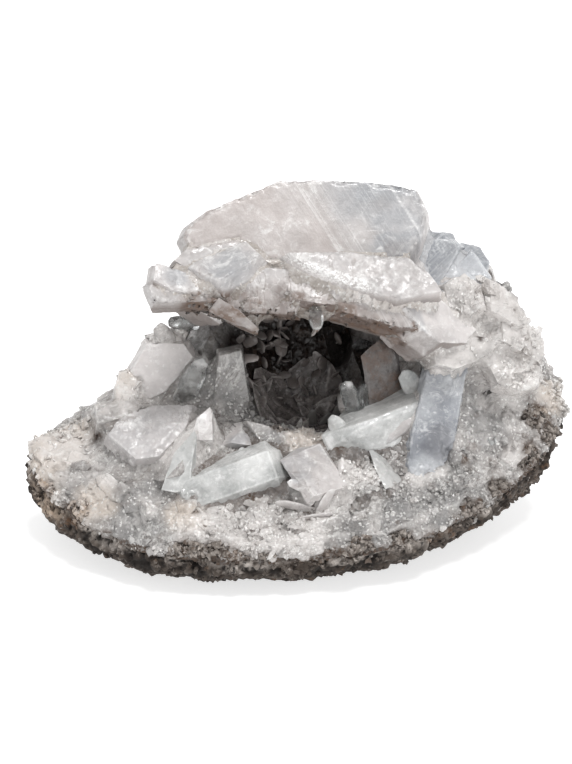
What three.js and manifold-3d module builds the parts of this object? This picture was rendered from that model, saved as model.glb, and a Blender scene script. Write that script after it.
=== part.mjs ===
// Celestite crystal cluster: an open half of a geode. A bowl of grey-brown rock carries a bed of
// grown-together crystals round a deep hollow, and blades of celestite roof the hollow over.
// Millimetres, +Z up. X runs left to right, and -Y is the open front, where the hollow looks out.
import * as THREE from "three";
import { ConvexGeometry } from "three/addons/geometries/ConvexGeometry.js";
import { mergeVertices } from "three/addons/utils/BufferGeometryUtils.js";
import Module from "manifold-3d";

const wasm = await Module();
wasm.setup();

// Driving dimensions
const GAP = 0.3; // between any two pieces
const ROCK_THICK = 5; // the rock under the bed
const BOWL_SIDES = 42; // steps round the bowl
const BOWL_CENTRE = new THREE.Vector2(2, 5);
const ROCK_LUMP = 1.5; // how far the rock's outside strays from a smooth bowl
const ROCK_UNDERCUT = 0.15; // how far the right end leans in below the rim, as a share of the way out
const BED_LUMP = 1.2;
const BED_BLEND = 5.2; // how far each point of bedForm reaches
const BED_OVER_ROCK = 1.5 * GAP; // the space left under the bed
const CRUST_THICK = 1.4;
const HOLLOW_MIDDLE = [5, 13];
const HOLLOW_REACH = [15, 12];
const KEPT_CLEAR = [19, 16]; // round the hollow's middle, where no crystal of the slopes stands
const EDGE_MARGIN = 4; // from the bed's edge to the nearest crystal that stands on it
const CRYSTAL_MARGIN = 6.5; // from the middle of a larger crystal to the nearest small one
const CRUST_SIDES = 24;

// The bowl's rim, seen from above, with its height: right end, round the front to the left, then
// the back, which stands higher.
const rimForm = [
  [64, 5, 27], [56, -6, 19], [44, -15, 13.5], [33, -23, 11], [18, -30, 10], [0, -33, 9.5],
  [-18, -33, 9.5], [-34, -30, 10.5], [-48, -22, 12.5], [-58, -12, 16], [-63, -2, 20], [-55, 10, 21],
  [-45, 24, 22], [-37, 32, 26], [-28, 37, 34], [-8, 43, 43], [14, 44, 46], [34, 39, 46],
  [50, 30, 42], [60, 18, 35],
];

// Points that the top of the crystal bed passes near: the front slope, the ledges at mid height, the
// hollow's floor, and the wall behind it.
const bedForm = [
  [-46, -14, 19], [-30, -21, 17], [-14, -24, 15], [2, -25, 14], [18, -23, 14], [32, -17, 16], [46, -9, 20],
  [-52, -2, 23], [-38, -8, 23], [-24, -13, 21], [-8, -15, 20], [8, -15, 20], [22, -14, 21], [36, -8, 27],
  [52, -1, 29], [-46, 7, 29], [-31, 2, 31], [-18, -4, 29], [-5, -6, 28], [8, -7, 27], [20, -5, 28],
  [31, -2, 34], [44, 4, 42], [-8, 10, 22], [3, 11, 20], [13, 11, 20], [20, 10, 24], [-2, 21, 22],
  [12, 22, 22], [20, 19, 26], [-19, 8, 42], [-17, 18, 51], [-10, 30, 57], [6, 33, 60], [22, 31, 60],
  [31, 10, 54], [31, 20, 59], [-30, 14, 36], [-42, 18, 29], [-26, 28, 43], [-37, 23, 31], [40, 18, 56],
  [53, 12, 46], [48, 26, 50], [32, 37, 55], [2, 39, 55],
];

// The bowl's outside and the top of its rock, as shares of the way out and up to the rim.
const rockOutside = [
  [0.2, 0], [0.42, 0], [0.62, 0.01], [0.77, 0.09], [0.88, 0.22], [0.96, 0.42], [1, 0.66], [0.99, 0.95],
];
const rockInside = [[0.97, 1], [0.88, 0.78], [0.72, 0.4], [0.5, 0.12], [0.25, 0]];
const bedShares = [0.91, 0.84, 0.77, 0.69, 0.61, 0.53, 0.45, 0.37, 0.29, 0.21, 0.11];

// A repeatable source of random numbers.
function randomFrom(seed) {
  let state = seed;
  return () => {
    state = (state + 0x6d2b79f5) | 0;
    let mixed = Math.imul(state ^ (state >>> 15), 1 | state);
    mixed = (mixed + Math.imul(mixed ^ (mixed >>> 7), 61 | mixed)) ^ mixed;
    return ((mixed ^ (mixed >>> 14)) >>> 0) / 4294967296;
  };
}

// Smooth lumps of about one `size`, from -1 to 1, and a second set at half the size.
function lumps(x, y, z, size) {
  const wave = (a, b, c, shift) => {
    const bend = Math.sin(a * 1.3 + shift + 1.7 * Math.sin(b * 0.9 + shift));
    return bend * Math.sin(c * 1.1 + 1.3 * Math.cos(a * 0.7 - shift));
  };
  const k = Math.PI / size;
  const coarse = wave(x * k, y * k, z * k + y * k * 0.6, 0.8);
  const fine = wave(y * k * 2, z * k * 2 + x * k, x * k * 2, 2.9);
  return 0.65 * coarse + 0.35 * fine;
}

// A closed mesh as a solid, and back.
function toSolid(geometry) {
  const bare = geometry.clone();
  bare.deleteAttribute("normal");
  bare.deleteAttribute("uv");
  const merged = mergeVertices(bare, 1e-4);
  return new wasm.Manifold(
    new wasm.Mesh({
      numProp: 3,
      vertProperties: new Float32Array(merged.attributes.position.array),
      triVerts: new Uint32Array(merged.index.array),
    }),
  );
}

function toGeometry(solid) {
  const mesh = solid.getMesh();
  const geometry = new THREE.BufferGeometry();
  geometry.setAttribute("position", new THREE.BufferAttribute(new Float32Array(mesh.vertProperties), 3));
  geometry.setIndex(new THREE.BufferAttribute(new Uint32Array(mesh.triVerts), 1));
  return geometry;
}

const joined = (solids) => solids.reduce((whole, next) => whole.add(next));

// The largest body of a solid, so that no cut leaves a loose crumb.
function mainBody(solid) {
  return solid.decompose().reduce((best, body) => (body.volume() > best.volume() ? body : best));
}

// A closed body from rings of equal length, each counter-clockwise from above. The first and the last
// are closed by a point at their middle.
function ringBody(rings) {
  const count = rings[0].length;
  const points = rings.flat();
  const faces = [];
  for (let ring = 0; ring + 1 < rings.length; ring++) {
    for (let i = 0; i < count; i++) {
      const a = ring * count + i;
      const b = ring * count + ((i + 1) % count);
      faces.push(a, b, b + count, a, b + count, a + count);
    }
  }
  for (const [ring, flip] of [[0, true], [rings.length - 1, false]]) {
    const middle = rings[ring].reduce((sum, p) => sum.add(p), new THREE.Vector3()).divideScalar(count);
    const tip = points.push(middle) - 1;
    for (let i = 0; i < count; i++) {
      const a = ring * count + i;
      const b = ring * count + ((i + 1) % count);
      faces.push(...(flip ? [b, a, tip] : [a, b, tip]));
    }
  }
  const geometry = new THREE.BufferGeometry().setFromPoints(points);
  geometry.setIndex(faces);
  return toSolid(geometry);
}

// Where a crystal stands: its middle, then its heading, its rise and how far its face is rolled
// towards the front, in degrees.
function placeOf(at, [heading, rise, roll]) {
  const euler = new THREE.Euler(
    THREE.MathUtils.degToRad(roll),
    -THREE.MathUtils.degToRad(rise),
    THREE.MathUtils.degToRad(heading),
    "ZYX",
  );
  const turned = new THREE.Quaternion().setFromEuler(euler);
  return new THREE.Matrix4().compose(new THREE.Vector3(...at), turned, new THREE.Vector3(1, 1, 1));
}

// Celestite's habit as a bar: four side faces that end in a chisel edge at each tip. `size` is its
// length along X, its width and its thickness, `tips` how long each chisel is, and `flat` the share
// of the width that the big faces take.
function barPoints({ size, tips = [3, 3], flat = 0.6, chisel = 0.5 }, grow) {
  const [half, side, thick] = size.map((s) => s / 2 + grow);
  const points = [];
  for (const [end, tip] of [[-1, tips[0]], [1, tips[1]]]) {
    const shoulder = end * (half - tip);
    for (const y of [-1, 1]) {
      points.push([shoulder, y * side, 0]);
      points.push([shoulder, y * side * flat, thick]);
      points.push([shoulder, y * side * flat, -thick]);
      points.push([end * half, y * side * chisel, 0.12 * thick]);
    }
  }
  return points;
}

// And as a plate: an outline at mid thickness, bevelled to a smaller one on each big face.
function platePoints({ outline, thick, flat = 0.86 }, grow) {
  const middle = [0, 1].map((axis) => outline.reduce((sum, p) => sum + p[axis], 0) / outline.length);
  return outline.flatMap(([x, y]) => {
    const way = new THREE.Vector2(x - middle[0], y - middle[1]);
    const wide = way.clone().setLength(way.length() + 1.5 * grow);
    const face = way.clone().multiplyScalar(flat);
    face.setLength(face.length() + 1.5 * grow);
    const half = thick / 2 + grow;
    return [
      [middle[0] + wide.x, middle[1] + wide.y, 0],
      [middle[0] + face.x, middle[1] + face.y, half],
      [middle[0] + face.x, middle[1] + face.y, -half],
    ];
  });
}

// One crystal, `grow` larger all round.
function crystalSolid(form, grow = 0) {
  const points = form.outline ? platePoints(form, grow) : barPoints(form, grow);
  const geometry = new ConvexGeometry(points.map((p) => new THREE.Vector3(...p)));
  geometry.applyMatrix4(placeOf(form.at, form.turn));
  return toSolid(geometry);
}

const solidOf = (forms, grow = 0) => joined(forms.map((form) => crystalSolid(form, grow)));

// The bowl
const rimCurve = new THREE.CatmullRomCurve3(rimForm.map((p) => new THREE.Vector3(...p)), true);
const rim = Array.from({ length: BOWL_SIDES }, (_, i) => rimCurve.getPoint(i / BOWL_SIDES)).reverse();

// The bed's height at a place, as a blend of the points near it.
function bedHeight(x, y) {
  let total = 0;
  let weight = 0;
  for (const [px, py, pz] of bedForm) {
    const near = Math.exp(-((x - px) ** 2 + (y - py) ** 2) / (2 * BED_BLEND ** 2)) + 1e-9;
    total += near * pz;
    weight += near;
  }
  return total / weight + BED_LUMP * lumps(x, y, 0, 9);
}

// A ring at a share of the way out to the rim. `height` gives each point's Z.
function ringAt(share, height) {
  return rim.map((edge) => {
    const x = BOWL_CENTRE.x + share * (edge.x - BOWL_CENTRE.x);
    const y = BOWL_CENTRE.y + share * (edge.y - BOWL_CENTRE.y);
    return new THREE.Vector3(x, y, height(edge, x, y));
  });
}

// Rings of the rock, `wide` further out and `high` further up. `lean` draws the right end's foot in.
function rockRings(profile, lift, wide, high, lean = 0) {
  return profile.map(([share, up]) =>
    ringAt(share, (edge) => lift + up * (edge.z - lift)).map((p) => {
      const fromCentre = new THREE.Vector2(p.x, p.y).sub(BOWL_CENTRE);
      const out = fromCentre.clone().normalize();
      const undercut = lean * (1 - up) * Math.max(0, out.x) * (fromCentre.length() / share);
      const rough = ROCK_LUMP * Math.min(1, up * 4) * lumps(p.x, p.y, p.z, 13) + wide - undercut;
      return new THREE.Vector3(p.x + out.x * rough, p.y + out.y * rough, p.z + high);
    }),
  );
}

const rockBowl = (grow = 0) =>
  ringBody([
    ...rockRings(rockOutside, 0, grow, 0, ROCK_UNDERCUT),
    ...rockRings(rockInside, ROCK_THICK, -grow, grow),
  ]);

// The bed fills the bowl. Its underside follows the rock, and its edge reaches out over the rim.
function bedBody() {
  const under = rockRings([...rockInside].reverse(), ROCK_THICK, -BED_OVER_ROCK, BED_OVER_ROCK);
  const edge = [
    ringAt(0.985, (rimPoint) => rimPoint.z + 1.4),
    ringAt(0.96, (rimPoint) => rimPoint.z + 3.2),
  ];
  const top = bedShares.map((share) =>
    ringAt(share, (rimPoint, x, y) => {
      const inside = THREE.MathUtils.smoothstep(0.985 - share, 0, 0.14);
      return THREE.MathUtils.lerp(rimPoint.z + 3.6, bedHeight(x, y), inside);
    }),
  );
  return ringBody([...under, ...edge, ...top]);
}

// Crystals that can be told apart, each a piece of its own in its socket in the bed. Outlines are in
// the plane of the crystal's big face, in millimetres from its middle.
const singles = {
  front_prism: [
    { at: [-15.2, -14.9, 19.2], turn: [9, 18, 54], size: [27, 12.5, 11.5], tips: [3.5, 2.5], flat: 0.5 },
  ],
  blue_blade: [{
    at: [32, -4.3, 30.4], turn: [66, 65, 27], thick: 8, flat: 0.88,
    outline: [
      [15, 4.2], [17, -2], [15.5, -5], [3.5, -5], [-4, -5], [-15, -4], [-16.5, 2.5], [-12.5, 5.5],
      [-4, 5.8], [8.5, 4.8],
    ],
  }],
  wedge_crystal: [
    { at: [19.8, -5, 30.2], turn: [16, 15, 50], size: [28, 11.5, 9], tips: [8, 3], flat: 0.08, chisel: 0.3 },
  ],
  ledge_plate: [{
    at: [-33.5, -4.7, 26.1], turn: [6, 6, 35], thick: 8,
    outline: [[-10.5, 0], [-8, 3], [-4.5, 5], [3, 6.5], [12.5, 5], [9.5, -1.5], [2, -8.5], [-4, -8.5]],
  }],
  left_plates: [
    {
      at: [-32.4, 8.8, 38.3], turn: [30, 50, 60], thick: 6,
      outline: [[-5, 5], [0, 4.8], [3.5, 5.5], [9, -2.5], [7.5, -6.5], [-4, -5.5], [-8, -3], [-7.5, 2]],
    },
    {
      at: [-24.6, 9.4, 34.6], turn: [60, 48, 30], thick: 6,
      outline: [[5, 0.5], [3.5, -2.5], [-2, -4], [-7.5, 4.5]],
    },
  ],
};

// The blades over the hollow, grown into one another: the great milky blade along the top, the plates
// and tips at its left end, the spear and the bodies under it with the two tips that hang from them, the
// lump at the right, and the backs.
const roofForms = [
  {
    at: [4.7, 8.8, 72.4], turn: [5, 2, 50], thick: 10, flat: 0.93,
    outline: [
      [-32, -1.5], [-30, 1.5], [-26, 4], [-14.2, 8], [-8, 10.5], [6.5, 9.6], [18.3, 7.9], [24.4, 6.1],
      [26.1, 1.6], [26, -1.6], [24, -6.5], [20.5, -12], [-8.5, -11], [-30.5, -5.5],
    ],
  },
  {
    at: [-18.4, -1, 67.2], turn: [12, 8, 35], thick: 7,
    outline: [[-10, 1], [-6.5, 3.5], [7, 3.5], [11, -1.5], [5.5, -3.5], [-6.5, -3]],
  },
  {
    at: [-14.8, -6.2, 66.7], turn: [12, 14, 25], thick: 8,
    outline: [[-9.5, 2.5], [0.5, 4.5], [7, 5], [9, -1], [3.5, -3.5], [-3, -5.5], [-6.5, -1.5]],
  },
  {
    at: [-26.1, -7.6, 63.8], turn: [10, -12, 40], thick: 8,
    outline: [[-6.5, 4], [-3, 3.5], [4, 1.5], [11, -1.5], [4.5, -4], [-2.5, -3], [-7, -1]],
  },
  {
    at: [-26.7, -9.3, 62.4], turn: [5, -6, 50], thick: 7,
    outline: [[-7, 2], [-6, 3], [-1, 1.8], [12.5, -1], [6.5, -2], [-5, -3]],
  },
  {
    at: [15.5, -4.3, 64.9], turn: [8, -8, 45], thick: 8, flat: 0.93,
    outline: [
      [-19.5, 3], [-6.5, 4.5], [9.5, 4.5], [14, 1.5], [17.5, -3.5], [6.5, -6.5], [-5.5, -3.6], [-15.5, 0.5],
    ],
  },
  {
    at: [-9, -4.4, 58.6], turn: [4, -2, 62], thick: 13,
    outline: [[-15.5, 1], [-12, 4.5], [-2, 8.5], [8, 8], [12, 2], [10, -3], [-8, -3]],
  },
  {
    at: [16, -4, 57.4], turn: [5, -14, 55], thick: 11,
    outline: [[-14, 4], [2, 6], [10, 4], [12, -4], [6, -4.5], [-8, -3.5]],
  },
  {
    at: [28.3, -1.7, 52.4], turn: [20, -30, 45], thick: 12,
    outline: [[-10, 4.5], [-3.5, 7], [5, 3.5], [13, 1.5], [10, -3.5], [1.5, -7], [-4.5, -5.5], [-10.5, -1.5]],
  },
  {
    at: [4.5, -4.5, 61], turn: [3, -6, 45], thick: 9,
    outline: [[-9, 3.5], [0, 4.5], [9, 3.5], [10, -2.5], [4, -4.5], [-7, -4]],
  },
  { at: [4.6, -7.6, 56.8], turn: [90, -80, 0], size: [7.5, 4, 3.2], tips: [1, 4.5], chisel: 0.15 },
  {
    at: [-12, -8.2, 57], turn: [0, -35, 70], thick: 3.4,
    outline: [[-7, 3], [2, 2.5], [5.5, -1], [-2, -2.5], [-7, -2]],
  },
  { at: [6, 14, 62], turn: [4, -2, 8], size: [52, 30, 14], tips: [6, 6] },
  { at: [3, 19, 68], turn: [-5, 3, -14], size: [46, 20, 8], tips: [5, 4] },
  { at: [-5, 27, 62], turn: [-14, 6, -42], size: [42, 20, 12], tips: [5, 7] },
  { at: [18, 25, 60.5], turn: [24, 8, -44], size: [30, 20, 11], tips: [4, 5] },
  { at: [-17, 13, 57], turn: [50, 12, -20], size: [26, 16, 12], tips: [4, 4] },
];

// The blue-grey fan at the right of the roof.
const fanForms = [
  {
    at: [33.2, 11.4, 63.7], turn: [20, 40, 50], thick: 8,
    outline: [[-8, 3], [1.5, 5], [5.5, 1], [6, -2], [-5, -5.5], [-8, -3]],
  },
  {
    at: [39.3, 9.9, 59.4], turn: [30, 40, 45], thick: 7,
    outline: [[-9, 0], [-7, 3.5], [6, 3.5], [5.5, 1], [4, -4], [-5, -5]],
  },
  { at: [37.5, 17, 58], turn: [8, 30, 12], size: [16, 13, 8], tips: [2, 3] },
  { at: [31, 20, 60], turn: [50, 34, -14], size: [17, 12, 8], tips: [2, 3] },
];

// Crystals fused to the bed: the right shoulder's pale blades, the shelf and the wall at the hollow's
// left, the crystals of the left end, the ridge behind the prism and the clear tip inside the hollow.
const bedForms = [
  {
    at: [38.2, 4.7, 57.2], turn: [20, 10, 50], thick: 7,
    outline: [[-5, 3.5], [1.5, 5], [4, 1.5], [3, -5], [-1, -6], [-6, -2.5]],
  },
  {
    at: [46.8, 5.2, 54.7], turn: [10, -40, 55], thick: 7,
    outline: [[-8, 2], [-3, 3.5], [1.5, 3], [8, -0.5], [4.5, -3.5], [-4, -4.5]],
  },
  {
    at: [52.4, 4.9, 46.2], turn: [5, -30, 60], thick: 8,
    outline: [[-9.5, 2], [-0.5, 3.5], [2, 3], [4, 1.5], [5, -1], [5, -4.5], [-1, -4], [-7, -3.5]],
  },
  {
    at: [51, 2.6, 39.4], turn: [10, 0, 50], thick: 8,
    outline: [[-8, 0.5], [-1.5, 4.5], [2, 6], [5.5, 0.5], [4.5, -4.5], [-1, -6], [-6.5, -4]],
  },
  {
    at: [37, -0.2, 45.6], turn: [10, -10, 60], thick: 10,
    outline: [[-9.5, 3.5], [6.5, 3.5], [8.5, 1.5], [4, -2.5], [-2, -5], [-7.5, -4.5]],
  },
  { at: [47.5, 16, 42], turn: [-30, 16, -20], size: [17, 12, 9] },
  { at: [41, 26, 50], turn: [40, 26, -40], size: [17, 12, 9] },
  { at: [-14.8, 5.9, 37.4], turn: [5, 4, 78], thick: 7, outline: [[-6, -7], [-2.5, 6], [3, 7], [4, -7]] },
  {
    at: [-13, 10.5, 46.4], turn: [4, -2, 50], thick: 5,
    outline: [[-13, 1], [4, 2.8], [13, 1.5], [8.5, -3], [-13, -3]],
  },
  {
    at: [-38.6, 6.1, 34.4], turn: [70, 60, 20], thick: 7,
    outline: [[2.8, 3], [3.5, 0.5], [1.5, -2], [-3, -3], [-4.5, -2.5], [-5, 3.5]],
  },
  {
    at: [-40.2, -0.2, 28.4], turn: [10, 4, 30], thick: 8,
    outline: [[-6.5, 3], [4, 3], [6.5, 0], [0.5, -2.5], [-6.5, -3]],
  },
  {
    at: [-29.1, 12, 42.5], turn: [40, 30, 50], thick: 7,
    outline: [[-3, 5.5], [1.5, 3], [3, -5], [-1, -5], [-5, 1.5]],
  },
  {
    at: [13.8, -13.8, 18.8], turn: [5, -12, 40], thick: 8,
    outline: [[-6, 4], [2, 4], [5, 1], [4.5, -3], [0, -4.5], [-5.5, -2]],
  },
  {
    at: [-23.4, -9.4, 25.4], turn: [60, 30, 60], thick: 9,
    outline: [[-11.5, 3], [1, 4.5], [9, 2.5], [5, -6], [-5, -4.5]],
  },
  {
    at: [0.2, -8.1, 21.9], turn: [-8, -8, 45], thick: 9,
    outline: [[-14.5, 6.5], [0.5, 5.5], [9, 1], [10, -4], [-1, -7], [-5.5, -2]],
  },
  { at: [14.5, 1, 29], turn: [150, 46, -20], size: [14, 6, 4.5], tips: [2, 4], chisel: 0.2 },
  { at: [6, -20, 17.5], turn: [80, 62, 20], size: [12, 5, 3.4], tips: [2, 3] },
  { at: [10, -19.5, 17.5], turn: [40, 50, 60], size: [12, 5, 3.4], tips: [2, 3] },
  { at: [1.5, -20, 17], turn: [130, 48, -40], size: [11, 4.5, 3.2], tips: [2, 3] },
];

// Small crystals that stand on the bed, leaning every way, and those that line the hollow.
function standingCrystals({ count, middle, reach, long, seed, keep, lean, sink }) {
  const random = randomFrom(seed);
  const between = ([low, high]) => low + (high - low) * random();
  const found = [];
  for (let tries = 0; found.length < count && tries < count * 30; tries++) {
    const x = middle[0] + reach[0] * (2 * random() - 1);
    const y = middle[1] + reach[1] * (2 * random() - 1);
    const length = between(long);
    const turn = [360 * random(), between(lean), 180 * random()];
    const wide = length * between([0.4, 0.75]);
    const thick = wide * between([0.4, 0.7]);
    const tips = [length * 0.1, length * 0.3];
    if (!keep(x, y)) continue;
    const at = [x, y, bedHeight(x, y) + sink * length];
    found.push({ at, turn, size: [length, wide, thick], tips, flat: 0, chisel: 0.3 });
  }
  return found;
}

// How far out from the hollow's middle a place is, squared, where 1 is at the ellipse of `reach`.
const shareOut = (x, y, reach) =>
  ((x - HOLLOW_MIDDLE[0]) / reach[0]) ** 2 + ((y - HOLLOW_MIDDLE[1]) / reach[1]) ** 2;

// Whether a place is on the bed, away from its edge, the hollow and the larger crystals.
const inHollow = (x, y) => shareOut(x, y, KEPT_CLEAR) < 1;
const turnOf = (x, y) => Math.atan2(y - BOWL_CENTRE.y, x - BOWL_CENTRE.x);
const apart = (a, b) => Math.abs(Math.atan2(Math.sin(a - b), Math.cos(a - b)));
function onBed(x, y) {
  const turn = turnOf(x, y);
  const gapTo = (p) => apart(turn, turnOf(p.x, p.y));
  const edge = rim.reduce((best, p) => (gapTo(p) < gapTo(best) ? p : best));
  const whole = Math.hypot(edge.x - BOWL_CENTRE.x, edge.y - BOWL_CENTRE.y);
  const out = Math.hypot(x - BOWL_CENTRE.x, y - BOWL_CENTRE.y);
  const larger = [...Object.values(singles).flat(), ...bedForms];
  const clear = larger.every(({ at }) => Math.hypot(x - at[0], y - at[1]) > CRYSTAL_MARGIN);
  const backLeft = x < -28 && y > 4;
  return out < whole - EDGE_MARGIN && clear && !backLeft && !inHollow(x, y);
}

// A thin crust over the hollow's floor and walls, with its crystals fused to it.
function hollowCrust() {
  const ring = (share, lift) =>
    Array.from({ length: CRUST_SIDES }, (_, i) => {
      const angle = (2 * Math.PI * i) / CRUST_SIDES;
      const x = HOLLOW_MIDDLE[0] + HOLLOW_REACH[0] * share * Math.cos(angle);
      const y = HOLLOW_MIDDLE[1] + HOLLOW_REACH[1] * share * Math.sin(angle);
      return new THREE.Vector3(x, y, bedHeight(x, y) + lift);
    });
  const shares = [0.3, 0.65, 1];
  const sheet = ringBody([
    ...shares.map((share) => ring(share, -1)),
    ...shares.toReversed().map((share) => ring(share, CRUST_THICK)),
  ]);
  const lining = standingCrystals({
    count: 17, middle: HOLLOW_MIDDLE, reach: HOLLOW_REACH, long: [4.5, 8], seed: 11, lean: [15, 75],
    sink: 0.2, keep: (x, y) => shareOut(x, y, HOLLOW_REACH) < 0.8,
  });
  return sheet.add(solidOf(lining));
}

const palette = {
  rock: new THREE.MeshStandardMaterial({ color: 0x6f665c, roughness: 0.95, metalness: 0 }),
  bed: new THREE.MeshStandardMaterial({ color: 0xd9d7d6, roughness: 0.55, metalness: 0 }),
  milky: new THREE.MeshStandardMaterial({ color: 0xd3d1d0, roughness: 0.35, metalness: 0 }),
  blue: new THREE.MeshStandardMaterial({ color: 0xa9b3be, roughness: 0.2, metalness: 0 }),
  smoky: new THREE.MeshStandardMaterial({ color: 0x6d6965, roughness: 0.3, metalness: 0 }),
};

const cluster = new THREE.Group();
cluster.name = "celestite_cluster";

function addPiece(name, solid, material) {
  const mesh = new THREE.Mesh(toGeometry(mainBody(solid)), material);
  mesh.name = name;
  cluster.add(mesh);
}

const druse = standingCrystals({
  count: 38, middle: [2, 4], reach: [60, 36], long: [6, 10], seed: 5, lean: [15, 55], sink: -0.12,
  keep: onBed,
});
const aroundRock = rockBowl(GAP);
const bedCrystals = [...druse, ...bedForms];
const smoothBed = bedBody();
const allSingles = Object.values(singles).flat();
const sockets = solidOf([...allSingles, ...roofForms, ...fanForms], GAP);

addPiece("rock_bowl", rockBowl(), palette.rock);
const wholeBed = smoothBed.add(solidOf(bedCrystals));
addPiece("crystal_bed", wholeBed.subtract(aroundRock).subtract(sockets), palette.bed);
addPiece("roof_blades", solidOf(roofForms), palette.milky);

// Each further piece is cut clear of those before it.
let taken = solidOf(roofForms, GAP);
for (const [name, forms] of Object.entries({ blue_fan: fanForms, ...singles })) {
  const colour = name.startsWith("blue") ? palette.blue : palette.milky;
  addPiece(name, solidOf(forms).subtract(taken).subtract(aroundRock), colour);
  taken = taken.add(solidOf(forms, GAP));
}
const underCrust = smoothBed.translate([0, 0, BED_OVER_ROCK]).add(solidOf(bedCrystals, GAP));
addPiece("hollow_crust", hollowCrust().subtract(underCrust).subtract(taken), palette.smoky);

export default cluster;
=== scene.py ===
# Celestite crystal cluster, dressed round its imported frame. Metres, +Z up, the open front faces -Y.
import math
from itertools import product

import bmesh
import bpy
import numpy as np
from mathutils import Matrix, Vector
from mathutils.bvhtree import BVHTree
from mathutils.kdtree import KDTree


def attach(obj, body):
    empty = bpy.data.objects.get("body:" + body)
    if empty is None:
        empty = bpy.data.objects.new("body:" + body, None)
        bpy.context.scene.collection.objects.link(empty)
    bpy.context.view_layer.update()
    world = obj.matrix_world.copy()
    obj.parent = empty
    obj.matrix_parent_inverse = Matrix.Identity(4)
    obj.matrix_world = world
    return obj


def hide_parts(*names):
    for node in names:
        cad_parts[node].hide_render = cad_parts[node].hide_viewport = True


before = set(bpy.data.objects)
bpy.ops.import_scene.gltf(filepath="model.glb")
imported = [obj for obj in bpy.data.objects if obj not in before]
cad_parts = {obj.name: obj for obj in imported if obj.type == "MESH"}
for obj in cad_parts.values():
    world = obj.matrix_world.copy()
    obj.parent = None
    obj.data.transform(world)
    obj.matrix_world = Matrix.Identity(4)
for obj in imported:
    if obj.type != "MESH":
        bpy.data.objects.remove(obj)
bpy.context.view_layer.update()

mm = 0.001


# Noise on arrays of points. Sizes are in millimetres, as the points are.

def hashOf(cells, seed):
    mixed = (cells * np.array([73856093, 19349663, 83492791])).sum(axis=-1) + seed * 2654435761
    mixed = (mixed ^ (mixed >> 13)) * 1274126177 & 0xFFFFFFFF
    mixed = (mixed ^ (mixed >> 16)) * 2246822519 & 0xFFFFFFFF
    return ((mixed ^ (mixed >> 15)) & 0xFFFFFF) / 0xFFFFFF


def cloud(points, size, seed, octaves=1):  # smooth, about -1 to 1
    total = np.zeros(len(points))
    share = 1.0
    for octave in range(octaves):
        scaled = points / (size / 2 ** octave)
        cell = np.floor(scaled).astype(np.int64)
        part = scaled - cell
        part = part * part * (3 - 2 * part)
        value = np.zeros(len(points))
        for corner in product((0, 1), repeat=3):
            weight = np.where(np.array(corner), part, 1 - part).prod(axis=1)
            value += weight * hashOf(cell + np.array(corner), seed + octave)
        total += share * (value * 2 - 1)
        share *= 0.5
    return total


# Tilted flat-topped lumps: their height, how near a border is, and a tone for each lump.
def shards(points, size, seed):
    scaled = points / size
    home = np.floor(scaled).astype(np.int64)
    first = np.full(len(points), 9.0)
    second = np.full(len(points), 9.0)
    tilt = np.zeros(len(points))
    tone = np.zeros(len(points))
    for step in product((-1, 0, 1), repeat=3):
        cell = home + np.array(step)
        centre = cell + np.stack([hashOf(cell, seed + axis) for axis in range(3)], axis=1)
        away = scaled - centre
        gap = np.linalg.norm(away, axis=1)
        lean = np.stack([hashOf(cell, seed + 3 + axis) - 0.5 for axis in range(3)], axis=1)
        closer = gap < first
        second = np.where(closer, first, np.minimum(second, gap))
        tilt = np.where(closer, (away * lean).sum(axis=1), tilt)
        tone = np.where(closer, hashOf(cell, seed + 7), tone)
        first = np.where(closer, gap, first)
    return tilt * 2 + tone - 0.5, np.clip((second - first) * 3, 0, 1), tone


def ramp(value, low, high):
    share = np.clip((value - low) / (high - low), 0, 1)
    return share * share * (3 - 2 * share)


def patchy(points, size, seed, octaves, low, high):  # patches of the noise, from 0 to 1
    return ramp(cloud(points, size, seed, octaves), low, high)


def capped(value):
    return np.clip(value, 0, 1)


# Meshes

# What is welded, what counts as a crisp corner, what a neighbour hides, and how finely the CAD nodes are split
# and read. Lengths are in millimetres and angles in radians.
meshing = {
    "weld": 0.02, "crisp": 0.3, "hidden": 0.9, "turns": 6, "shortest": 0.05, "level": math.radians(1.5),
    "sharp": 0.4, "spacing": 0.4,
}


def rowsOf(source, key, width, kind=float):
    values = np.empty(len(source) * width, kind)
    source.foreach_get(key, values)
    return values.reshape(-1, width)


def pointsOf(mesh):
    return rowsOf(mesh.vertices, "co", 3) / mm


def normalsOf(mesh):
    return rowsOf(mesh.vertex_normals, "vector", 3)


def cornersOf(mesh):  # of a mesh whose faces all have four
    return rowsOf(mesh.loops, "vertex_index", 1, np.int64).reshape(-1, 4)


def setPoints(mesh, points):
    mesh.vertices.foreach_set("co", (points * mm).ravel())
    mesh.update()


def moveOut(mesh, height):  # along the normals, by one height or by one for each point
    setPoints(mesh, pointsOf(mesh) + normalsOf(mesh) * np.reshape(height, (-1, 1)))


def setValues(mesh, **values):
    for name, value in values.items():
        layer = mesh.attributes.new(name, "FLOAT", "POINT")
        layer.data.foreach_set("value", np.ascontiguousarray(value, np.float32))


def meshFrom(name, solid):
    mesh = bpy.data.meshes.new(name)
    solid.to_mesh(mesh)
    solid.free()
    return mesh


def addObject(name, mesh):
    piece = bpy.data.objects.new(name, mesh)
    bpy.context.scene.collection.objects.link(piece)
    return piece


def remeshPiece(piece, voxel):
    mesh = piece.data
    remesh = piece.modifiers.new("even", "REMESH")
    remesh.mode = "VOXEL"
    remesh.voxel_size = voxel * mm
    remesh.use_smooth_shade = True
    fine = bpy.data.meshes.new_from_object(piece.evaluated_get(bpy.context.evaluated_depsgraph_get()))
    piece.modifiers.clear()
    piece.data = fine
    fine.name = piece.name
    bpy.data.meshes.remove(mesh)


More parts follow.
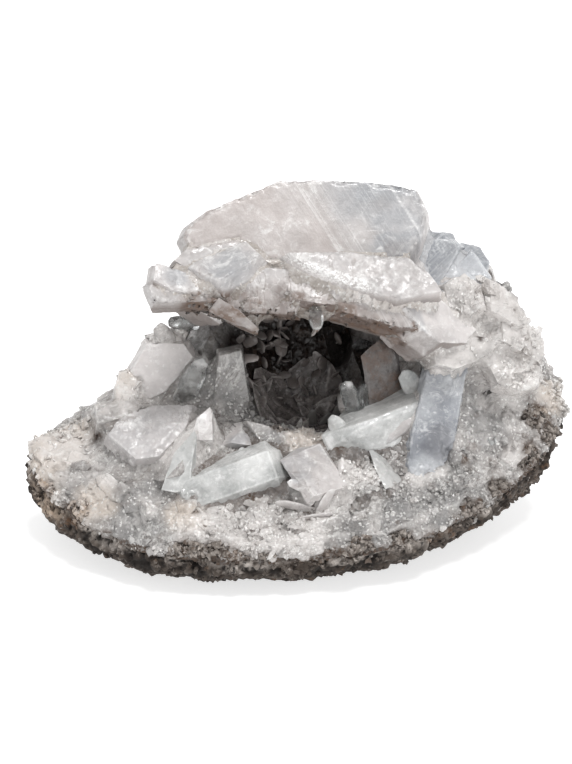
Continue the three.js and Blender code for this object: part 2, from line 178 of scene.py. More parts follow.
def weldedSolid(node):
    welded = bmesh.new()
    welded.from_mesh(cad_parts[node].data)
    bmesh.ops.remove_doubles(welded, verts=welded.verts, dist=meshing["weld"] * mm)
    return welded


# A fresh mesh of small even faces over a CAD node, which itself stays as it is.
def evenCopy(name, node, voxel, grow):
    piece = addObject(name, meshFrom(name, weldedSolid(node)))
    moveOut(piece.data, grow)
    remeshPiece(piece, voxel)
    return piece


# The nodes swollen until they meet and shrunk back to just under their faces: it shows in the clefts alone.
def fillBetween(name, nodes, voxel, swell, sink):
    together = bmesh.new()
    for node in nodes:
        together.from_mesh(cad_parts[node].data)
    piece = addObject(name, meshFrom(name, together))
    remeshPiece(piece, voxel)
    moveOut(piece.data, swell)
    remeshPiece(piece, voxel)
    moveOut(piece.data, -swell - sink)
    return piece


def cutOut(name, mesh, chosen):  # a mesh of the chosen faces
    used, faces = np.unique(cornersOf(mesh)[chosen], return_inverse=True)
    part = bpy.data.meshes.new(name)
    part.from_pydata((pointsOf(mesh)[used] * mm).tolist(), [], faces.reshape(-1, 4).tolist())
    part.shade_smooth()
    return part


# Splits a mesh until no edge is longer than `step`. Its corners stay marked as crisp. What lies against the
# nodes in `against` is hidden and stays as it is.
def refine(fine, step, against=()):
    for edge in fine.edges:
        edge.smooth = abs(edge.calc_face_angle(0)) < meshing["crisp"]
    for _ in range(meshing["turns"]):
        hidden = np.zeros(len(fine.verts), bool)
        if against:
            hidden = distanceTo(against, np.array([vert.co for vert in fine.verts]) / mm) < meshing["hidden"]
        tooLong = [
            edge for edge in fine.edges
            if edge.calc_length() > step * mm and not all(hidden[vert.index] for vert in edge.verts)
        ]
        if not tooLong:
            break
        bmesh.ops.subdivide_edges(fine, edges=tooLong, cuts=1)
        bmesh.ops.dissolve_degenerate(fine, dist=meshing["shortest"] * mm, edges=fine.edges)
        bmesh.ops.triangulate(fine, faces=[face for face in fine.faces if len(face.verts) > 3])
        fine.verts.index_update()


# A copy of a CAD node that keeps its crisp edges, in faces no longer than `step`.
def crispCopy(name, node, step, grow, against=()):
    mesh = meshFrom(name, weldedSolid(node))
    fine = bmesh.new()
    fine.from_mesh(mesh)
    refine(fine, step, against)
    for face in fine.faces:
        face.smooth = True
    fine.to_mesh(mesh)
    fine.free()
    mesh.validate()
    moveOut(mesh, grow)
    return addObject(name, mesh)


# What a CAD node is like next to each point: the flat face there, how crisp its outline is, and how far the
# nearest outward edge and the nearest crease are, in millimetres.
def traitsOf(node, points, seed):
    flat = weldedSolid(node)
    bmesh.ops.dissolve_limit(flat, angle_limit=meshing["level"], verts=flat.verts, edges=flat.edges)
    lines = {"ridge": [], "crease": []}
    for edge in flat.edges:
        bend = edge.calc_face_angle_signed(0)
        if abs(bend) > meshing["sharp"]:
            first, last = (np.array(vert.co) / mm for vert in edge.verts)
            steps = np.linspace(0, 1, 2 + int(np.linalg.norm(last - first) / meshing["spacing"]))[:, None]
            lines["ridge" if bend > 0 else "crease"].append(first + steps * (last - first))
    found = {}
    for kind, rows in lines.items():
        found[kind] = np.full(len(points), 99.0)
        if not rows:
            continue
        places = np.concatenate(rows)
        tree = KDTree(len(places))
        for index, place in enumerate(places):
            tree.insert(place, index)
        tree.balance()
        found[kind] = np.array([tree.find(point)[2] for point in points])
    crisp = []
    for face in flat.faces:
        outline = sum(edge.calc_length() for edge in face.edges)
        ridges = [edge for edge in face.edges if edge.calc_face_angle_signed(0) > meshing["sharp"]]
        crisp.append(sum(edge.calc_length() for edge in ridges) / max(1e-9, outline))
    tree = BVHTree.FromBMesh(flat)
    nearest = np.array([tree.find_nearest(Vector(point))[2] for point in points * mm])
    found["area"] = np.array([face.calc_area() for face in flat.faces])[nearest] / mm ** 2
    found["crisp"] = np.array(crisp)[nearest]
    found["tone"] = np.random.default_rng(seed).random(len(flat.faces))[nearest]
    flat.free()
    return found


def treeOver(nodes):
    corners, faces = [], []
    for node in nodes:
        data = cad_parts[node].data
        faces += [tuple(len(corners) + i for i in face.vertices) for face in data.polygons]
        corners += [vert.co.copy() for vert in data.vertices]
    return BVHTree.FromPolygons(corners, faces)


treeOf = {name: treeOver([name]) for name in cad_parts}


def heightOver(tree, places):  # millimetres outside the solids of a tree, under 0 inside
    found = [tree.find_nearest(Vector(place * mm)) for place in places]
    return np.array([(Vector(place * mm) - near[0]).dot(near[1]) for place, near in zip(places, found)]) / mm


def distanceTo(nodes, places):
    trees = [treeOf[node] for node in nodes]
    spots = [Vector(place) for place in places * mm]
    return np.array([min(tree.find_nearest(spot)[3] for tree in trees) for spot in spots]) / mm


# Shader maths: a socket that can be added to, multiplied and so on.

class Signal:
    def __init__(self, finish, socket):
        self.finish = finish
        self.socket = socket

    def maths(self, operation, first, second):
        return self.finish.node("ShaderNodeMath", {"operation": operation}, {0: first, 1: second})

    def __add__(self, other):
        return self.maths("ADD", self, other)

    def __radd__(self, other):
        return self.maths("ADD", other, self)

    def __sub__(self, other):
        return self.maths("SUBTRACT", self, other)

    def __rsub__(self, other):
        return self.maths("SUBTRACT", other, self)

    def __mul__(self, other):
        return self.maths("MULTIPLY", self, other)

    def __rmul__(self, other):
        return self.maths("MULTIPLY", other, self)

    def other(self, out):  # another output of the same node
        return Signal(self.finish, self.socket.node.outputs[out])


class Finish:
    def __init__(self, name):
        self.material = bpy.data.materials.new(name)
        self.material.use_nodes = True
        self.tree = self.material.node_tree
        self.tree.nodes.clear()

    def node(self, kind, settings=None, inputs=None, out=0):
        made = self.tree.nodes.new(kind)
        for key, value in (settings or {}).items():
            if key == "stops":
                colours = made.color_ramp
                while len(colours.elements) < len(value):
                    colours.elements.new(0.5)
                for element, (place, colour) in zip(colours.elements, value):
                    element.position = place
                    element.color = colour
            else:
                setattr(made, key, value)
        for key, value in (inputs or {}).items():
            if isinstance(value, Signal):
                self.tree.links.new(value.socket, made.inputs[key])
            else:
                made.inputs[key].default_value = value
        return Signal(self, made.outputs[out])

    def value(self, name):  # a vertex value by its name
        return self.node("ShaderNodeAttribute", {"attribute_name": name}, out="Fac")

    def place(self):
        return self.node("ShaderNodeTexCoord", out="Object")

    def vectors(self, operation, first, second, out=0):
        return self.node("ShaderNodeVectorMath", {"operation": operation}, {0: first, 1: second}, out)

    def grain(self, scale, detail=3.0, rough=0.55, warp=0.0):
        return self.node("ShaderNodeTexNoise", None, {
            "Vector": self.place(), "Scale": scale, "Detail": detail, "Roughness": rough, "Distortion": warp,
        })

    def parts(self, colour):
        return self.node("ShaderNodeSeparateColor", None, {"Color": colour})

    def grains(self, size):  # of about `size` millimetres: a tone for each, and the height of its tilted top
        place = self.place()
        cell = self.node("ShaderNodeTexVoronoi", None, {"Vector": place, "Scale": 1000 / size})
        lean = self.vectors("SUBTRACT", cell.other("Color"), (0.5, 0.5, 0.5))
        away = self.vectors("SUBTRACT", place, cell.other("Position"))
        tilt = self.vectors("DOT_PRODUCT", away, lean, "Value")
        tone = self.parts(cell.other("Color"))
        return tone, tilt * (2000 / size) + tone.other("Green") * 0.5

    def cracks(self, size, width):  # bent lines round fields of about `size` millimetres, and their tones
        place = self.place()
        noise = {"Vector": place, "Scale": 1300 / size, "Detail": 4.0}
        sway = self.node("ShaderNodeTexNoise", None, noise, "Color")
        sway = self.node("ShaderNodeVectorMath", {"operation": "SCALE"}, {0: sway, "Scale": 0.0014 * size})
        cell = {"Vector": self.vectors("ADD", place, sway), "Scale": 1000 / size}
        border = self.node("ShaderNodeTexVoronoi", {"feature": "DISTANCE_TO_EDGE"}, cell, "Distance")
        field = self.node("ShaderNodeTexVoronoi", None, cell, "Color")
        return 1 - self.steps(border, 0.0, width), self.parts(field)

    def seams(self, scale, width):  # thin winding lines, where a smooth noise passes through its middle value
        drift = self.grain(scale, 4.0, 0.6, 1.0) - 0.5
        away = self.node("ShaderNodeMath", {"operation": "ABSOLUTE"}, {0: drift})
        return 1 - self.steps(away, width * 0.3, width)

    def strands(self, scale):  # fine parallel lines, across which the vertex value strand runs in millimetres
        lines = self.node("ShaderNodeTexNoise", {"noise_dimensions": "1D"},
                          {"W": self.value("strand"), "Scale": scale, "Detail": 4.0, "Roughness": 0.65})
        return self.steps(lines, 0.5, 0.66) * self.value("strands")

    def blend(self, share, first, second):
        return self.node("ShaderNodeMix", {"data_type": "RGBA"}, {"Factor": share, 6: first, 7: second}, 2)

    def layered(self, colour, *layers):  # tints laid over a colour in turn, each by its share
        for share, tint in layers:
            colour = self.blend(share, colour, tint)
        return colour

    def steps(self, signal, low, high):  # a value spread from low to high over 0 to 1
        return self.node("ShaderNodeMapRange", None, {"Value": signal, "From Min": low, "From Max": high})

    def bump(self, height, strength, distance):
        inputs = {"Height": height, "Strength": strength, "Distance": distance}
        return self.node("ShaderNodeBump", None, inputs)

    # A second, clearer shader shows by `share`, and `absorb` tints what passes through.
    def surface(self, inputs, glassy=None, share=None, absorb=None):
        shader = self.node("ShaderNodeBsdfPrincipled", None, inputs)
        if glassy:
            clear = self.node("ShaderNodeBsdfPrincipled", None, glassy)
            shader = self.node("ShaderNodeMixShader", None, {0: share, 1: shader, 2: clear})
        last = self.tree.nodes.new("ShaderNodeOutputMaterial")
        self.tree.links.new(shader.socket, last.inputs["Surface"])
        if absorb:
            inside = self.node("ShaderNodeVolumeAbsorption", None, absorb)
            self.tree.links.new(inside.socket, last.inputs["Volume"])
        return self.material


def rgb(red, green, blue):
    return (red, green, blue, 1.0)


# Finishes

# Looks: edge is the white of painted highlights and glints, and of real cracks and wisps.
milkyLook = {
    "milk": rgb(0.42, 0.385, 0.37), "pale": rgb(0.80, 0.76, 0.745), "blue": rgb(0.28, 0.298, 0.325),
    "warm": rgb(0.52, 0.455, 0.43), "stain": rgb(0.13, 0.075, 0.045), "edge": rgb(0.98, 0.97, 0.955),
    "shade": rgb(0.15, 0.115, 0.10), "mottle": 75.0, "grains": (1.4, 0.6), "fields": (5.0, 2.2),
    "sugar": 0.2, "bump": 0.4, "glints": 0.5, "roughness": 0.3, "glow": 0.12, "depth": 0.001,
    "clear": 0.25, "cracked": 0.3, "wisps": 0.6, "seams": 0.35,
}
blueLook = {
    "milk": rgb(0.295, 0.307, 0.33), "pale": rgb(0.68, 0.695, 0.72), "blue": rgb(0.185, 0.205, 0.245),
    "warm": rgb(0.47, 0.435, 0.42), "stain": rgb(0.15, 0.10, 0.07), "edge": rgb(0.93, 0.94, 0.95),
    "shade": rgb(0.10, 0.10, 0.115), "mottle": 95.0, "grains": (1.5, 0.6), "fields": (4.5, 2.0),
    "sugar": 0.2, "bump": 0.45, "glints": 0.4, "roughness": 0.25, "glow": 0.1, "depth": 0.001,
    "clear": 0.3, "cracked": 0.15, "wisps": 0.65, "seams": 0.15,
}
clearLook = {
    "milk": rgb(0.46, 0.465, 0.455), "pale": rgb(0.90, 0.90, 0.885), "blue": rgb(0.40, 0.435, 0.44),
    "warm": rgb(0.60, 0.53, 0.50), "stain": rgb(0.20, 0.15, 0.11), "edge": rgb(1.0, 1.0, 0.99),
    "shade": rgb(0.22, 0.21, 0.20), "mottle": 130.0, "grains": (1.5, 0.6), "fields": (4.0, 1.8),
    "sugar": 0.15, "bump": 0.45, "glints": 0.6, "roughness": 0.1, "glow": 0.08, "depth": 0.001,
    "clear": 0.5, "cracked": 0.15, "wisps": 0.9, "seams": 0.15,
}
glassLook = {
    "milk": rgb(0.42, 0.41, 0.40), "pale": rgb(0.80, 0.79, 0.775), "blue": rgb(0.38, 0.40, 0.40),
    "warm": rgb(0.66, 0.59, 0.55), "stain": rgb(0.20, 0.15, 0.11), "edge": rgb(1.0, 1.0, 0.99),
    "shade": rgb(0.25, 0.24, 0.23), "mottle": 150.0, "grains": (1.2, 0.5), "fields": (3.0, 1.5),
    "sugar": 0.1, "bump": 0.3, "glints": 0.3, "roughness": 0.04, "glow": 0.05, "depth": 0.001,
    "clear": 1.6, "cracked": 0.1, "wisps": 0.3, "seams": 0.0,
}
sugarLook = {
    "milk": rgb(0.205, 0.185, 0.174), "pale": rgb(0.84, 0.80, 0.775), "blue": rgb(0.19, 0.19, 0.188),
    "warm": rgb(0.74, 0.64, 0.55), "stain": rgb(0.09, 0.056, 0.036), "edge": rgb(1.0, 0.985, 0.96),
    "shade": rgb(0.025, 0.018, 0.015), "mottle": 90.0, "grains": (1.0, 0.45), "fields": (4.5, 1.8),
    "sugar": 0.3, "bump": 0.8, "glints": 0.8, "roughness": 0.14, "glow": 0.08, "depth": 0.0008,
    "clear": 0.3, "cracked": 0.3, "wisps": 0.5, "seams": 0.5,
}
smokyLook = {
    "milk": rgb(0.10, 0.086, 0.08), "pale": rgb(0.38, 0.345, 0.33), "blue": rgb(0.065, 0.06, 0.062),
    "warm": rgb(0.24, 0.17, 0.125), "stain": rgb(0.10, 0.052, 0.028), "edge": rgb(0.72, 0.68, 0.66),
    "shade": rgb(0.012, 0.010, 0.009), "mottle": 160.0, "grains": (1.0, 0.45), "fields": (3.5, 1.6),
    "sugar": 0.3, "bump": 0.5, "glints": 0.35, "roughness": 0.1, "glow": 0.05, "depth": 0.001,
    "clear": 0.3, "cracked": 0.25, "wisps": 0.25, "seams": 0.3,
}


def crystalFinish(name, look):
    finish = Finish(name)
    mottle = look["mottle"]
    coarse, coarseTop = finish.grains(look["grains"][0])
    fine, fineTop = finish.grains(look["grains"][1])
    largeCrack, largeField = finish.cracks(look["fields"][0], 0.045)
    smallCrack, smallField = finish.cracks(look["fields"][1], 0.07)
    clouds = finish.steps(finish.grain(mottle, 5.0, 0.6, 0.6), 0.35, 0.68)
    veil = finish.steps(finish.grain(mottle * 3.1, 4.0, 0.65, 1.2), 0.3, 0.7)
    broken = finish.steps(finish.grain(mottle * 1.1, 2.0), 0.36, 0.6)
    wisps = finish.steps(finish.grain(mottle * 2.4, 8.0, 0.75, 1.6), 0.52, 0.62)
    calm, tone, edge, shade, stain = (finish.value(key) for key in ("calm", "tone", "edge", "shade", "stain"))
    frost = clouds * (0.65 - look["sugar"]) + largeField * 0.2 + smallField * 0.15
    frost = frost + (coarse * 0.5 + fine * 0.5) * look["sugar"]
    frost = frost * (1 - calm * 0.4) + calm * 0.2
    strand = finish.strands(1.5) * (0.35 + broken * 0.65)
    lines = (largeCrack + smallCrack * 0.4) * finish.steps(veil + broken, 0.9, 1.5)
    lines = lines * (1 - calm * 0.85) * look["cracked"]
    seam = finish.seams(mottle * 0.8, 0.008) * finish.steps(clouds + broken, 0.9, 1.5) * look["seams"]
    colour = finish.layered(
        finish.blend(frost, look["milk"], look["pale"]),
        (veil * (0.35 - calm * 0.2), look["blue"]),
        (finish.value("blue"), finish.blend(frost * 0.5, look["blue"], look["pale"])),
        (finish.value("warm"), finish.blend(frost * 0.6, look["warm"], look["pale"])),
        (tone * (0.5 + frost * 0.5), look["pale"]),
        (wisps * finish.steps(broken + clouds, 0.5, 1.3) * look["wisps"], look["edge"]),
        (strand, look["edge"]),
        (lines, look["edge"]),
        # Painted glints: white flecks on a few random fine grains.
        (finish.steps(fine.other("Blue"), 0.9, 0.95) * (1 - calm) * look["glints"], look["edge"]),
        # Painted glitter, then painted highlights along edges.
        (finish.value("glitter") * finish.steps(finish.grains(0.35)[0], 0.45, 0.6), look["edge"]),
        (edge * (0.3 + fine * 0.7), look["edge"]),
        (seam * (1 - calm * 0.5), look["stain"]),
        # Painted shade, and real darker colour, by the vertex value shade.
        (shade * (1 - lines * 0.4), look["shade"]),
        (stain * finish.steps(fine + veil, 0.3, 1.1), look["stain"]),
    )
    height = (coarseTop + fineTop * 0.45) * (1 - calm * 0.8) + finish.grain(mottle * 9, 5.0, 0.7) * 0.6
    height = height + strand * 0.5 + largeField * 0.4 * (1 - calm)
    bump = finish.bump(height, look["bump"], 0.0003)
    body = {
        "Base Color": colour, "Roughness": look["roughness"] + stain * 0.4, "Normal": bump, "IOR": 1.62,
        "Subsurface Weight": look["glow"], "Subsurface Radius": (1.0, 1.0, 1.0),
        "Subsurface Scale": look["depth"],
    }
    glassy = {
        "Base Color": rgb(0.96, 0.98, 0.98), "Roughness": 0.08, "Normal": bump, "IOR": 1.62,
        "Transmission Weight": 1.0,
    }
    hidden = tone * 0.5 + edge + stain + shade + lines
    share = finish.node("ShaderNodeMath", {"operation": "MULTIPLY", "use_clamp": True},
                        {0: (1.1 - frost) * (1 - hidden), 1: look["clear"]})
    return finish.surface(body, glassy, share, {"Color": rgb(0.86, 0.90, 0.92), "Density": 8.0})


def rockFinish():
    look = {
        "brown": rgb(0.045, 0.03, 0.022), "grey": rgb(0.135, 0.11, 0.092), "dark": rgb(0.012, 0.008, 0.006),
        "pale": rgb(0.66, 0.60, 0.55), "rust": rgb(0.20, 0.10, 0.045), "beige": rgb(0.58, 0.46, 0.36),
    }
    finish = Finish("matrix rock")
    coarse, coarseTop = finish.grains(1.4)
    fine, fineTop = finish.grains(0.6)
    patches = finish.steps(finish.grain(160.0, 5.0, 0.6, 0.4), 0.38, 0.62)
    rust = finish.steps(finish.grain(230.0, 3.0, 0.6), 0.58, 0.72)
    colour = finish.layered(
        finish.blend(patches * 0.5 + coarse * 0.5, look["brown"], look["grey"]),
        (rust * 0.6, look["rust"]),
        (finish.value("warm") * (0.3 + coarse * 0.7), look["beige"]),
        (finish.steps(fine + coarse * 0.6, 1.25, 1.5) * 0.4, look["pale"]),
        # Painted highlights on the raised bits.
        (finish.value("edge"), look["pale"]),
        (finish.value("tone") * (0.3 + fine * 0.7), look["pale"]),
        # Painted shade in the pits, with real darker patches.
        (finish.value("shade"), look["dark"]),
        ((1 - finish.steps(fine + coarse, 0.25, 0.75)) * 0.9, look["dark"]),
    )
    bump = finish.bump(coarseTop + fineTop * 0.5, 0.9, 0.0004)
    roughness = 0.88 - finish.value("tone") * 0.4
    return finish.surface({"Base Color": colour, "Roughness": roughness, "Normal": bump})


finishes = {
    "milky": crystalFinish("milky celestite", milkyLook),
    "blue": crystalFinish("blue celestite", blueLook),
    "clear": crystalFinish("clear celestite", clearLook),
    "glass": crystalFinish("glassy celestite", glassLook),
    "sugar": crystalFinish("sugary celestite", sugarLook),
    "smoky": crystalFinish("smoky celestite", smokyLook),
    "rock": rockFinish(),
}
print("finishes made")


def finishPiece(piece, finish, slot, *nodes):
    piece.data.materials.clear()
    piece.data.materials.append(finishes[finish])
    if nodes:
        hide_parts(*nodes)
    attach(piece, "root")


# Camera
shot = {
    "elevation": 24.0, "distance": 0.415, "lens": 85.0, "sensor": 36.0, "aim": (-0.00207, 0.0, 0.038),
    "frame": (572, 764),
}
elevation = math.radians(shot["elevation"])
aim = Vector(shot["aim"])
viewFrom = aim + shot["distance"] * Vector((0, -math.cos(elevation), math.sin(elevation)))
camera = bpy.data.objects.new("camera", bpy.data.cameras.new("camera"))
camera.data.lens = shot["lens"]
camera.data.sensor_width = shot["sensor"]
camera.data.clip_start = 0.01
camera.location = viewFrom
camera.rotation_euler = (aim - viewFrom).to_track_quat("-Z", "Y").to_euler()
bpy.context.scene.collection.objects.link(camera)
bpy.context.scene.camera = camera


def sightLine(pixel):  # the way from the camera through a pixel of the photograph, 1 long towards the back
    share = shot["sensor"] / shot["lens"] / max(shot["frame"])
    right, down = ((place - size / 2) * share for place, size in zip(pixel, shot["frame"]))
    ahead = Vector((0, math.cos(elevation), -math.sin(elevation)))
    above = Vector((0, math.sin(elevation), math.cos(elevation)))
    way = ahead - above * down + Vector((right, 0, 0))
    return way / way.y


# Where the hollow is, which gets painted shade, and where the cluster is stained or blue, in millimetres of
# its own frame.

hollow = {"middle": (4.0, 15.0, 37.5), "reach": (19.5, 17.0, 19.5)}
topBlade = {
    "middle": (4.7, 8.8, 72.4), "turn": (5.0, 2.0, 50.0), "lines": 64.0, "linesAt": 1.8,
    "blueAt": (4.5, 10.0), "facetAt": 18.6,
}


def inHollow(points):
    away = (points - np.array(hollow["middle"])) / np.array(hollow["reach"])
    return 1 - ramp(np.linalg.norm(away, axis=1) + 0.12 * cloud(points, 7, 91, 2), 0.78, 1.06)


def axesOf(turn):  # the CAD's own turn: heading, rise, roll
    heading, rise, roll = (math.radians(angle) for angle in turn)
    return Matrix.Rotation(heading, 3, "Z") @ Matrix.Rotation(-rise, 3, "Y") @ Matrix.Rotation(roll, 3, "X")


def localPoints(points, place):
    axes = np.array(axesOf(place["turn"]))
    return (points - np.array(place["middle"])) @ axes


# Patches of the cluster, each a place and how far it reaches, in millimetres.
patches = {
    "rugged": [
        (45, 3, 55, 9), (50, 4, 46, 8), (50, 2, 38, 8), (37, 0, 46, 7), (40, 4, 58, 7), (-38, -1, 29, 6),
        (0, -9, 24, 9), (14, -15, 21, 7),
    ],
    "smooth": [
        (-54, -5, 23, 11), (47, 2, 54, 9), (-36, -4, 30, 8), (36, -3, 48, 7), (8, -12, 24, 7),
        (46, -3, 34, 7), (-44, -10, 22, 6), (-13, 14, 45, 13),
    ],
    "white": [
        (-41.7, -15.9, 23.4, 4.5), (-8, -30, 15, 7), (2, -30, 13, 6), (-24, -30, 13, 5),
        (12.4, -15.5, 23, 4), (51.4, -2.5, 39.6, 5), (-10, -17.5, 26, 5), (-6, -14, 27, 4),
        (25.9, 6.4, 37.2, 3.5), (30, -13, 22.5, 4), (-33, -22, 18, 4), (-38, -2, 31, 3), (44, 2, 57, 10),
        (40, -3, 51, 6), (28, -14, 20, 4), (32, -4.5, 59, 8), (50, 1, 48, 9), (-53, -4, 24, 8),
        (-31, 6, 38, 6), (39, 6, 62, 8), (-20, -27, 16, 4), (31, -12, 22, 4),
    ],
    # On the shelf under the roof this greying is partly painted shade.
    "grey": [
        (-13, 14, 45, 13), (-15, 3, 40, 7), (46.7, 1.3, 50.4, 3.2), (-36, -1, 31, 5), (15, -27, 14, 8),
        (28, -19, 17, 7), (-33, -18, 19, 5), (38, -14, 22, 5), (46, -2, 45, 4), (-9, -12, 24, 5),
    ],
    "brown": [
        (-24, -31, 11, 5), (-18, -33, 11, 4.5), (-13, -35, 9, 5), (-7, -34, 9, 3.5), (2, -35, 8, 4.5),
        (8, -32, 9, 4), (15, -31, 10, 4.5), (23, -27, 12, 3.5), (40, -18, 13.5, 4), (47, -12, 17, 3),
        (54, -6, 22, 4.5), (57, 0, 29, 4), (-43, -27, 10, 4), (-57, -13, 15, 5), (38.3, -10.9, 23.9, 1.8),
        (34.6, -7.1, 51.4, 1.4), (41.8, -2.3, 49.9, 1.4), (38, -4, 50.5, 1.0), (46.5, 24.4, 55.1, 2),
        (60, -2, 25, 4), (59, 2, 22, 4), (-50, -20, 14, 5), (21, 20, 36, 5), (-4, -4, 29, 3.5),
        (-46, -3, 26, 2.5), (-20, -6, 31, 2),
    ],
    "beige": [
        (-56, -5, 22, 9), (-52, -1, 25, 7), (-57, -12, 15, 8), (-24, -26, 17, 6), (60, 5, 33, 6),
        (-46, -20, 17, 7), (-39, 3, 36, 4), (3, -7, 27, 6),
    ],
    # Darker patches: painted shade on the shelf under the roof, elsewhere the blades' real dark smudges.
    "dusk": [
        (22, 1.5, 69.2, 4), (27, 1.5, 68, 4), (-13, 16, 44, 12), (-22, 16.5, 44, 8),
        (32.5, -10.3, 26.2, 4.5), (33, -9, 29, 3), (47.2, 3.7, 44.9, 2.6), (45.5, 0.8, 34.9, 2),
    ],
    "blue": [
        (-14, -9, 70, 7), (20, 1.7, 70.4, 5), (26, 1.5, 69, 5), (20, -22, 16, 9), (36, -19, 15, 8),
        (45, -6, 28, 7), (34, -16, 20, 6), (37, -2, 46, 6), (-26, -10, 68, 4), (50, 3, 46, 6),
    ],
}


def patchAt(kind, points):
    ragged = 0.28 * cloud(points, 4.5, 500 + len(kind), 3)
    found = np.zeros(len(points))
    for *middle, reach in patches[kind]:
        away = np.linalg.norm(points - np.array(middle), axis=1) / reach
        found = np.maximum(found, 1 - ramp(away + ragged, 0.45, 1.1))
    return found


# What a place on the bed looks like, whether on the bed itself or on a small crystal that stands there.
def bedTones(points):
    dark = inHollow(points)
    brown = patchAt("brown", points)
    dusk = patchAt("dusk", points)
    drift = cloud(points, 9, 64, 3)
    white = 0.9 * patchAt("white", points) + 0.7 * ramp(drift, 0.1, 0.7)
    blue = patchAt("grey", points) * 0.8 + patchAt("blue", points) + 0.9 * ramp(-drift, 0.1, 0.7)
    stain = brown + 0.5 * patchy(points, 5, 66, 3, 0.45, 0.9) + 0.4 * patchy(points, 2.2, 70, 2, 0.5, 0.9)
    # The hollow gets painted shade over its real smoky colour, and the dusk patches are darker too.
    return {
        "tone": capped(white) * (1 - dark) * (1 - dusk),
        "blue": capped(blue),
        "warm": patchAt("beige", points) * (1 - dark),
        "stain": capped(stain),
        "shade": capped(dark + 0.5 * dusk + brown * patchy(points, 3.5, 68, 2, -0.1, 0.5)),
    }


# Rock
rockLook = {"voxel": 0.7, "grow": 0.25, "lump": 1.1, "grit": 0.8, "pit": 1.0, "spill": 3.2, "lowShade": 0.4}
rock = evenCopy("matrixRock", "rock_bowl", rockLook["voxel"], rockLook["grow"])
points = pointsOf(rock.data)
chunk, chunkEdge = shards(points, 4.0, 3)[:2]
bits, bitEdge, bitTone = shards(points, 1.8, 8)
height = rockLook["lump"] * 0.6 * cloud(points, 9, 5, 2) + rockLook["grit"] * (chunk * 0.7 + bits * 0.55)
pits = patchy(points, 3.4, 21, 3, 0.25, 0.8)
height -= rockLook["pit"] * pits + 0.5 * (1 - chunkEdge) + 0.35 * (1 - bitEdge)
aboveBase = ramp(points[:, 2], 0.3, 3.0)  # the underside stays nearly flat
moved = points + normalsOf(rock.data) * (height * (0.2 + 0.8 * aboveBase))[:, None]
moved[:, 2] = np.maximum(moved[:, 2], 0.0)
setPoints(rock.data, moved)


def rockTones(points):  # pale druse spills over the rock's rim, and the rock is darker low down
    fromBed = distanceTo(["crystal_bed"], points)
    spill = ramp(-fromBed + rockLook["spill"] * (0.35 + cloud(points, 9, 33, 3)), -1.5, 1.5)
    shade = 0.6 * patchy(points, 5, 35, 3, 0.2, 0.8) * (1 - spill)
    shade += rockLook["lowShade"] * ramp(-points[:, 2], -11, -3)
    return {"tone": spill, "warm": patchAt("beige", points), "shade": capped(shade)}


tones = rockTones(points)
# Painted highlights on the rock's raised bits, and painted shade in its pits.
tones["edge"] = 0.2 * ramp(height, 0.1, 0.9) * bitTone
tones["shade"] = capped(tones["shade"] + ramp(-height, 0.3, 1.3))
setValues(rock.data, **tones)
finishPiece(rock, "rock", "matrix_rock", "rock_bowl")
print("rock", len(rock.data.polygons))


# Bed
bedLook = {"step": 0.85, "grow": 0.25, "block": 0.9, "crumb": 0.36, "chip": 0.35, "rim": 0.7}
bed = crispCopy("crystalBed", "crystal_bed", bedLook["step"], bedLook["grow"], against=["rock_bowl"])
points = pointsOf(bed.data)
traits = traitsOf("crystal_bed", points, 40)
fromRock = distanceTo(["rock_bowl"], points)
# The larger faces of the bed's own crystals stay nearly bare, away from the rock and from the creases.
bare = ramp(traits["crisp"], 0.3, 0.5) * ramp(traits["area"], 3, 9) * ramp(fromRock, 3.0, 4.5)
bare *= ramp(traits["crease"] + 0.8 * cloud(points, 3, 55, 2), 0.3, 1.8)
bare *= 1 - 0.75 * patchAt("rugged", points)
block, blockEdge, blockTone = shards(points, 4.4, 41)
crumb, crumbEdge, crumbTone = shards(points, 1.9, 47)
rough = patchy(points, 14, 52, 2, -0.5, 0.4) * (1 - 0.7 * patchAt("smooth", points))
brown = patchAt("brown", points)
atRidge = ramp(-traits["ridge"], -0.6, -0.1)
height = (1 - 0.9 * bare) * bedLook["block"] * (block - 0.25 * (1 - blockEdge))
height += (1 - 0.85 * bare) * bedLook["crumb"] * (0.35 + 0.65 * rough) * (crumb - 0.3 * (1 - crumbEdge))
height -= bedLook["chip"] * bare * atRidge * patchy(points, 2.5, 58, 2, -0.2, 0.6)
height -= brown * (1 - bare) * (0.4 + 0.9 * patchy(points, 2.6, 60, 3, 0.0, 0.6))
height[fromRock < meshing["hidden"]] = 0.0
rim = ramp(-fromRock, -2.8, -1.0) * (fromRock > meshing["hidden"])  # it swells beside the rock
height += rim * bedLook["rim"]
moveOut(bed.data, height)
tones = bedTones(points)
lit = 1 - inHollow(points)
nearRock = ramp(-fromRock + 2.4 * (0.2 + cloud(points, 6, 61, 3)), -1.0, 1.4)  # and is brown there
tones["tone"] = capped(tones["tone"] + 0.3 * blockTone * rough * (1 - bare) + bare * 0.45 * traits["tone"])
tones["tone"] *= 1 - nearRock
# Painted highlights along the bare ridges, only outside the hollow.
tones["edge"] = lit * ramp(-traits["ridge"], -0.45, -0.1) * bare * patchy(points, 4, 63, 2, -0.3, 0.4) * 0.6
tones["stain"] = capped(tones["stain"] * (1 - 0.6 * bare) + nearRock)
tones["shade"] = capped(tones["shade"] + 0.3 * nearRock * crumbTone)
tones["calm"] = 0.7 * patchAt("smooth", points) + 0.3 * bare
setValues(bed.data, **tones)
finishPiece(bed, "sugar", "sugary_celestite", "crystal_bed")
print("bed", len(bed.data.polygons))


# Roof
roofLook = {
    "step": 0.7, "grow": 0.1, "chip": 0.5, "bandTop": 67.0, "lipTop": 64.6, "lipFall": 0.36, "lump": 0.5,
}


